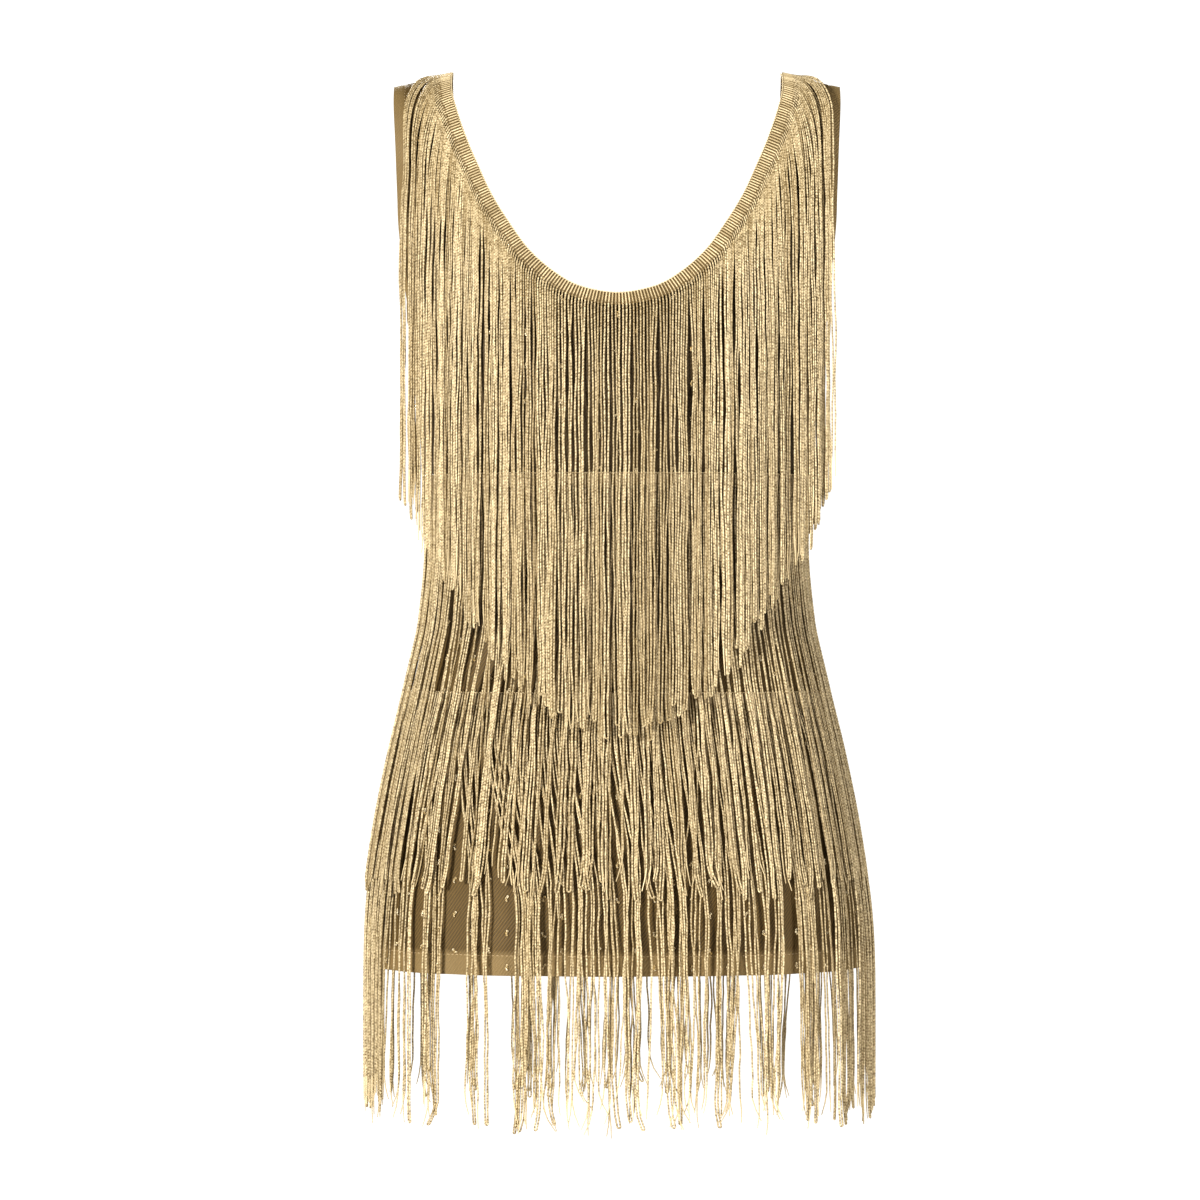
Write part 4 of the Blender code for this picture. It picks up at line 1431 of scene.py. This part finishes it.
def knit_finish():
    """Champagne stretch knit with a fine slanting twill, paler where its edges are turned, and darkened by
    painted shade where the fringe hangs over it.
    """
    material, tree, shader = new_finish("Champagne knit")
    across, down = on_cloth(tree)
    ridges = waves(tree, added(tree, across, times(tree, down, TWILL_SLANT)), TWILL_RIDGE)
    cells = waves(tree, maths(tree, "SUBTRACT", across, times(tree, down, CELL_SLANT)), TWILL_CELL)
    height = stretched(tree, added(tree, ridges, times(tree, cells, CELL_SHARE)), -1.0, 1.0)
    clouds, specks = noise(tree, CLOUDS), noise(tree, SPECKS)
    turned, covered = mark(tree, "turned"), mark(tree, "covered")
    # Painted shade from the fringe, kept off the turned edges
    painted_shade = maths(tree, "MULTIPLY", covered, maths(tree, "SUBTRACT", 1.0, turned))
    twill = added(tree, times(tree, height, TWILL_CONTRAST), TWILL_BASE)
    base = blend(tree, twill, KNIT_LOW, KNIT_HIGH)
    for value, share, colour in (
        (stretched(tree, clouds, NOISE_LOW, NOISE_HIGH), CLOUDED_SHARE, CLOUDED),
        (specks, SPECKLED_SHARE, SPECKLED),
        (turned, TURNED_SHARE, TURNED),
        (painted_shade, KNIT_PAINTED_SHADE_SHARE, KNIT_PAINTED_SHADE),
    ):
        base = blend(tree, times(tree, value, share), base, colour)
    link(tree, base, shader.inputs["Base Color"])
    roughened(tree, shader, clouds, KNIT_ROUGHNESS)
    give_sheen(shader, KNIT_SHEEN)
    raised(tree, shader, height, KNIT_RELIEF)
    return material


def fringe_finish():
    """Lustrous chainette yarn: slanting stitches that meet in a point all along the strand, with painted shade
    in their grooves and on deep strands.
    """
    material, tree, shader = new_finish("Champagne fringe")
    along, tone, thick = mark(tree, "along"), mark(tree, "tone"), mark(tree, "thickness")
    around = add(tree, "ShaderNodeSeparateXYZ", {0: mark(tree, "round", "Vector")}).outputs[0]
    slant = times(tree, maths(tree, "ABSOLUTE", around), STITCH_LEAN)
    phase = added(tree, times(tree, along, math.tau / CHAIN_STITCH), slant)
    stitch = stretched(tree, maths(tree, "SINE", phase), -STITCH_SOFTNESS, STITCH_SOFTNESS)
    half = maths(tree, "GREATER_THAN", around, 0.0)
    links = added(tree, maths(tree, "DIVIDE", along, YARN_LINK), times(tree, half, 0.5))
    number = maths(tree, "FLOOR", links)
    which = add(tree, "ShaderNodeCombineXYZ", {0: number, 1: times(tree, tone, TONE_STEPS), 2: half})
    settings = {"Vector": which.outputs[0]}
    speck = add(tree, "ShaderNodeTexWhiteNoise", settings, noise_dimensions="3D").outputs["Value"]
    height = added(tree, times(tree, stitch, STITCH_SHARE), times(tree, speck, SPECK_SHARE))
    on_tape = maths(tree, "LESS_THAN", thick, DRAWN_TIGHT)
    height = maths(tree, "MAXIMUM", height, times(tree, on_tape, RIB_HEIGHT))
    # The yarn is darker in the stitches' grooves, which is painted shade, and on its dark specks
    base = blend(tree, height, YARN_DARK, YARN_PALE)
    # Painted shade on the strands that lie deep, mixed with a random tone
    base = blend(tree, times(tree, tone, SHADE_AND_TONE_SHARE), base, YARN_SHADE_AND_TONE)
    link(tree, base, shader.inputs["Base Color"])
    roughened(tree, shader, speck, YARN_ROUGHNESS)
    give_sheen(shader, YARN_SHEEN)
    raised(tree, shader, height, YARN_RELIEF)
    return material


def tape_finish():
    """The woven ground of the fringe's tape, dull, with painted shade that makes it darker between the strands.
    """
    material, tree, shader = new_finish("Champagne tape")
    across, down = on_cloth(tree)
    weave = added(tree, waves(tree, across, STRAND_PITCH / 2), waves(tree, down, TAPE_ROW))
    height = stretched(tree, weave, -2.0, 2.0)
    # A weave pattern between two colours that are both darkened with painted shade
    link(tree, blend(tree, height, TAPE_SHADED_DARK, TAPE_SHADED_PALE), shader.inputs["Base Color"])
    roughened(tree, shader, height, TAPE_ROUGHNESS)
    raised(tree, shader, height, TAPE_RELIEF)
    return material


def bead_finish():
    """Gold-lined seed beads, glossy, with a slight change from bead to bead."""
    material, tree, shader = new_finish("Gold bead")
    change = noise(tree, BEAD_CHANGE)
    share = stretched(tree, change, BEAD_CHANGE_LOW, BEAD_CHANGE_HIGH)
    link(tree, blend(tree, share, BEAD_DEEP, BEAD_BRIGHT), shader.inputs["Base Color"])
    roughened(tree, shader, change, BEAD_ROUGHNESS)
    shader.inputs["Metallic"].default_value = BEAD_METAL
    shader.inputs["Coat Weight"].default_value = BEAD_COAT
    return material


def thread_finish():
    """Matt gold sewing thread, a little uneven along its fibres."""
    material, tree, shader = new_finish("Sewing thread")
    fibres = noise(tree, THREAD_FIBRES)
    link(tree, blend(tree, fibres, THREAD_DARK, THREAD_PALE), shader.inputs["Base Color"])
    roughened(tree, shader, fibres, THREAD_ROUGHNESS)
    raised(tree, shader, fibres, THREAD_RELIEF)
    return material


# Studio


AMBIENT = 0.09
WARM_WHITE = (1.0, 0.982, 0.94)
PAPER = (0.85, 0.85, 0.85)
PAPER_ROUGHNESS = 0.9
FLOOR = -1.40
FLOOR_REACH = 4
AIM = (0, 0, -0.35)
CAMERA_PLACE = (-0.0122, -3.0, -0.378)
CAMERA_LENS, CAMERA_SENSOR = 125, 36
Lamp = namedtuple("Lamp", "name place size power")
LAMPS = (
    Lamp("Key light", (-2.7, -3.7, 1.0), 0.9, 274),
    Lamp("Fill light", (3.2, -3.0, 0.4), 1.6, 116),
    Lamp("Back light", (-1.5, 3.9, 1.4), 1.6, 240),
)


def paper_floor():
    """A plain white sheet well below the dress."""
    material, _, shader = new_finish("White studio paper")
    shader.inputs["Base Color"].default_value = (*PAPER, 1)
    shader.inputs["Roughness"].default_value = PAPER_ROUGHNESS
    corners = [(x * FLOOR_REACH, y * FLOOR_REACH, FLOOR) for x, y in ((-1, -1), (1, -1), (1, 1), (-1, 1))]
    mesh = bpy.data.meshes.new("floor")
    mesh.from_pydata(corners, [], [(0, 1, 2, 3)])
    mesh.materials.append(material)
    new_object("floor", mesh)


def place_lamp(lamp):
    """A square soft light that looks at the dress."""
    light = bpy.data.lights.new(lamp.name, "AREA")
    light.shape = "SQUARE"
    light.size = lamp.size
    light.energy = lamp.power
    light.color = WARM_WHITE
    made = bpy.data.objects.new(lamp.name, light)
    made.location = lamp.place
    x, y, z = np.array(AIM) - np.array(lamp.place)
    made.rotation_euler = (math.atan2(math.hypot(x, y), -z), 0, math.atan2(-x, y))
    bpy.context.scene.collection.objects.link(made)


def white_world():
    """White to the camera and dim to the dress."""
    world = bpy.data.worlds.new("Studio")
    world.use_nodes = True
    tree = world.node_tree
    ground = tree.nodes["Background"]
    ground.inputs["Color"].default_value = (1, 1, 1, 1)
    seen = add(tree, "ShaderNodeLightPath").outputs["Is Camera Ray"]
    strength = add(tree, "ShaderNodeMapRange", {0: seen, 1: 0.0, 2: 1.0, 3: AMBIENT, 4: 1.0})
    link(tree, strength.outputs[0], ground.inputs["Strength"])
    return world


def studio():
    scene = bpy.context.scene
    scene.view_settings.view_transform = "Standard"
    scene.view_settings.look = "Medium High Contrast"
    scene.world = white_world()
    paper_floor()
    for lamp in LAMPS:
        place_lamp(lamp)
    camera = bpy.data.cameras.new("Camera")
    camera.lens = CAMERA_LENS
    camera.sensor_width = CAMERA_SENSOR
    made = bpy.data.objects.new("Camera", camera)
    made.location = CAMERA_PLACE
    made.rotation_euler = (math.pi / 2, 0, 0)
    scene.collection.objects.link(made)
    scene.camera = made


# The whole dress

# The seed of each side's random draws, and what each kind of piece adds to it: a tier adds its level
SEEDS = {FRONT: 11, BACK: 12}
NECK_SEED, NECK_YARN_SEED, TIER_YARN_SEED = 10, 20, 30
MILLIMETRES = 1000


def fringes(side, seed):
    """One side's fringes: the node each replaces, its lines, its tape's places and ends, and its seed."""
    lines, neck = neck_lines(side, seed + NECK_SEED)
    span = TAPE_END, neck.length - TAPE_END
    yield "neck_fringe", lines, neck_point_at(neck), span, seed + NECK_YARN_SEED
    for tier in (WAIST, HIP):
        lines, ring = ring_lines(tier, side, seed + int(MILLIMETRES * -tier.level))
        yield tier.name, lines, ring_point_at(ring), ring.span(side), seed + TIER_YARN_SEED


def main():
    studio()
    materials = {"knit": knit_finish(), "fringe": fringe_finish(), "tape": tape_finish()}
    gold, thread = bead_finish(), thread_finish()
    yarn, sewn_on = yarn_tree(), sewn_on_tree()
    cluster, stitch = bead_cluster(), stitch_shape()
    knits, made = {}, {}
    for side, seed in SEEDS.items():
        knits[side] = knit_panel(side, materials["knit"])
        beads = sewn_beads(side, sewn_on, cluster, gold, seed)
        made[side] = [beads, sewn_stitches(side, sewn_on, stitch, thread)]
        for node, lines, point_at, span, yarn_seed in fringes(side, seed):
            pair = fringe_pieces(f"{node}_{NAMES[side]}", lines, point_at, span, materials, yarn, yarn_seed)
            for piece in pair:
                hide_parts(node)
            made[side] += pair
    for helper in (cluster, stitch):
        bpy.data.objects.remove(helper)
    for side in (FRONT, BACK):
        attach(knits[side], "root")
        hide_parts(f"{NAMES[side]}_panel")
        for piece in made[side]:
            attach(piece, "root")
            "fringe" in piece.name
        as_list(made[side])


main()
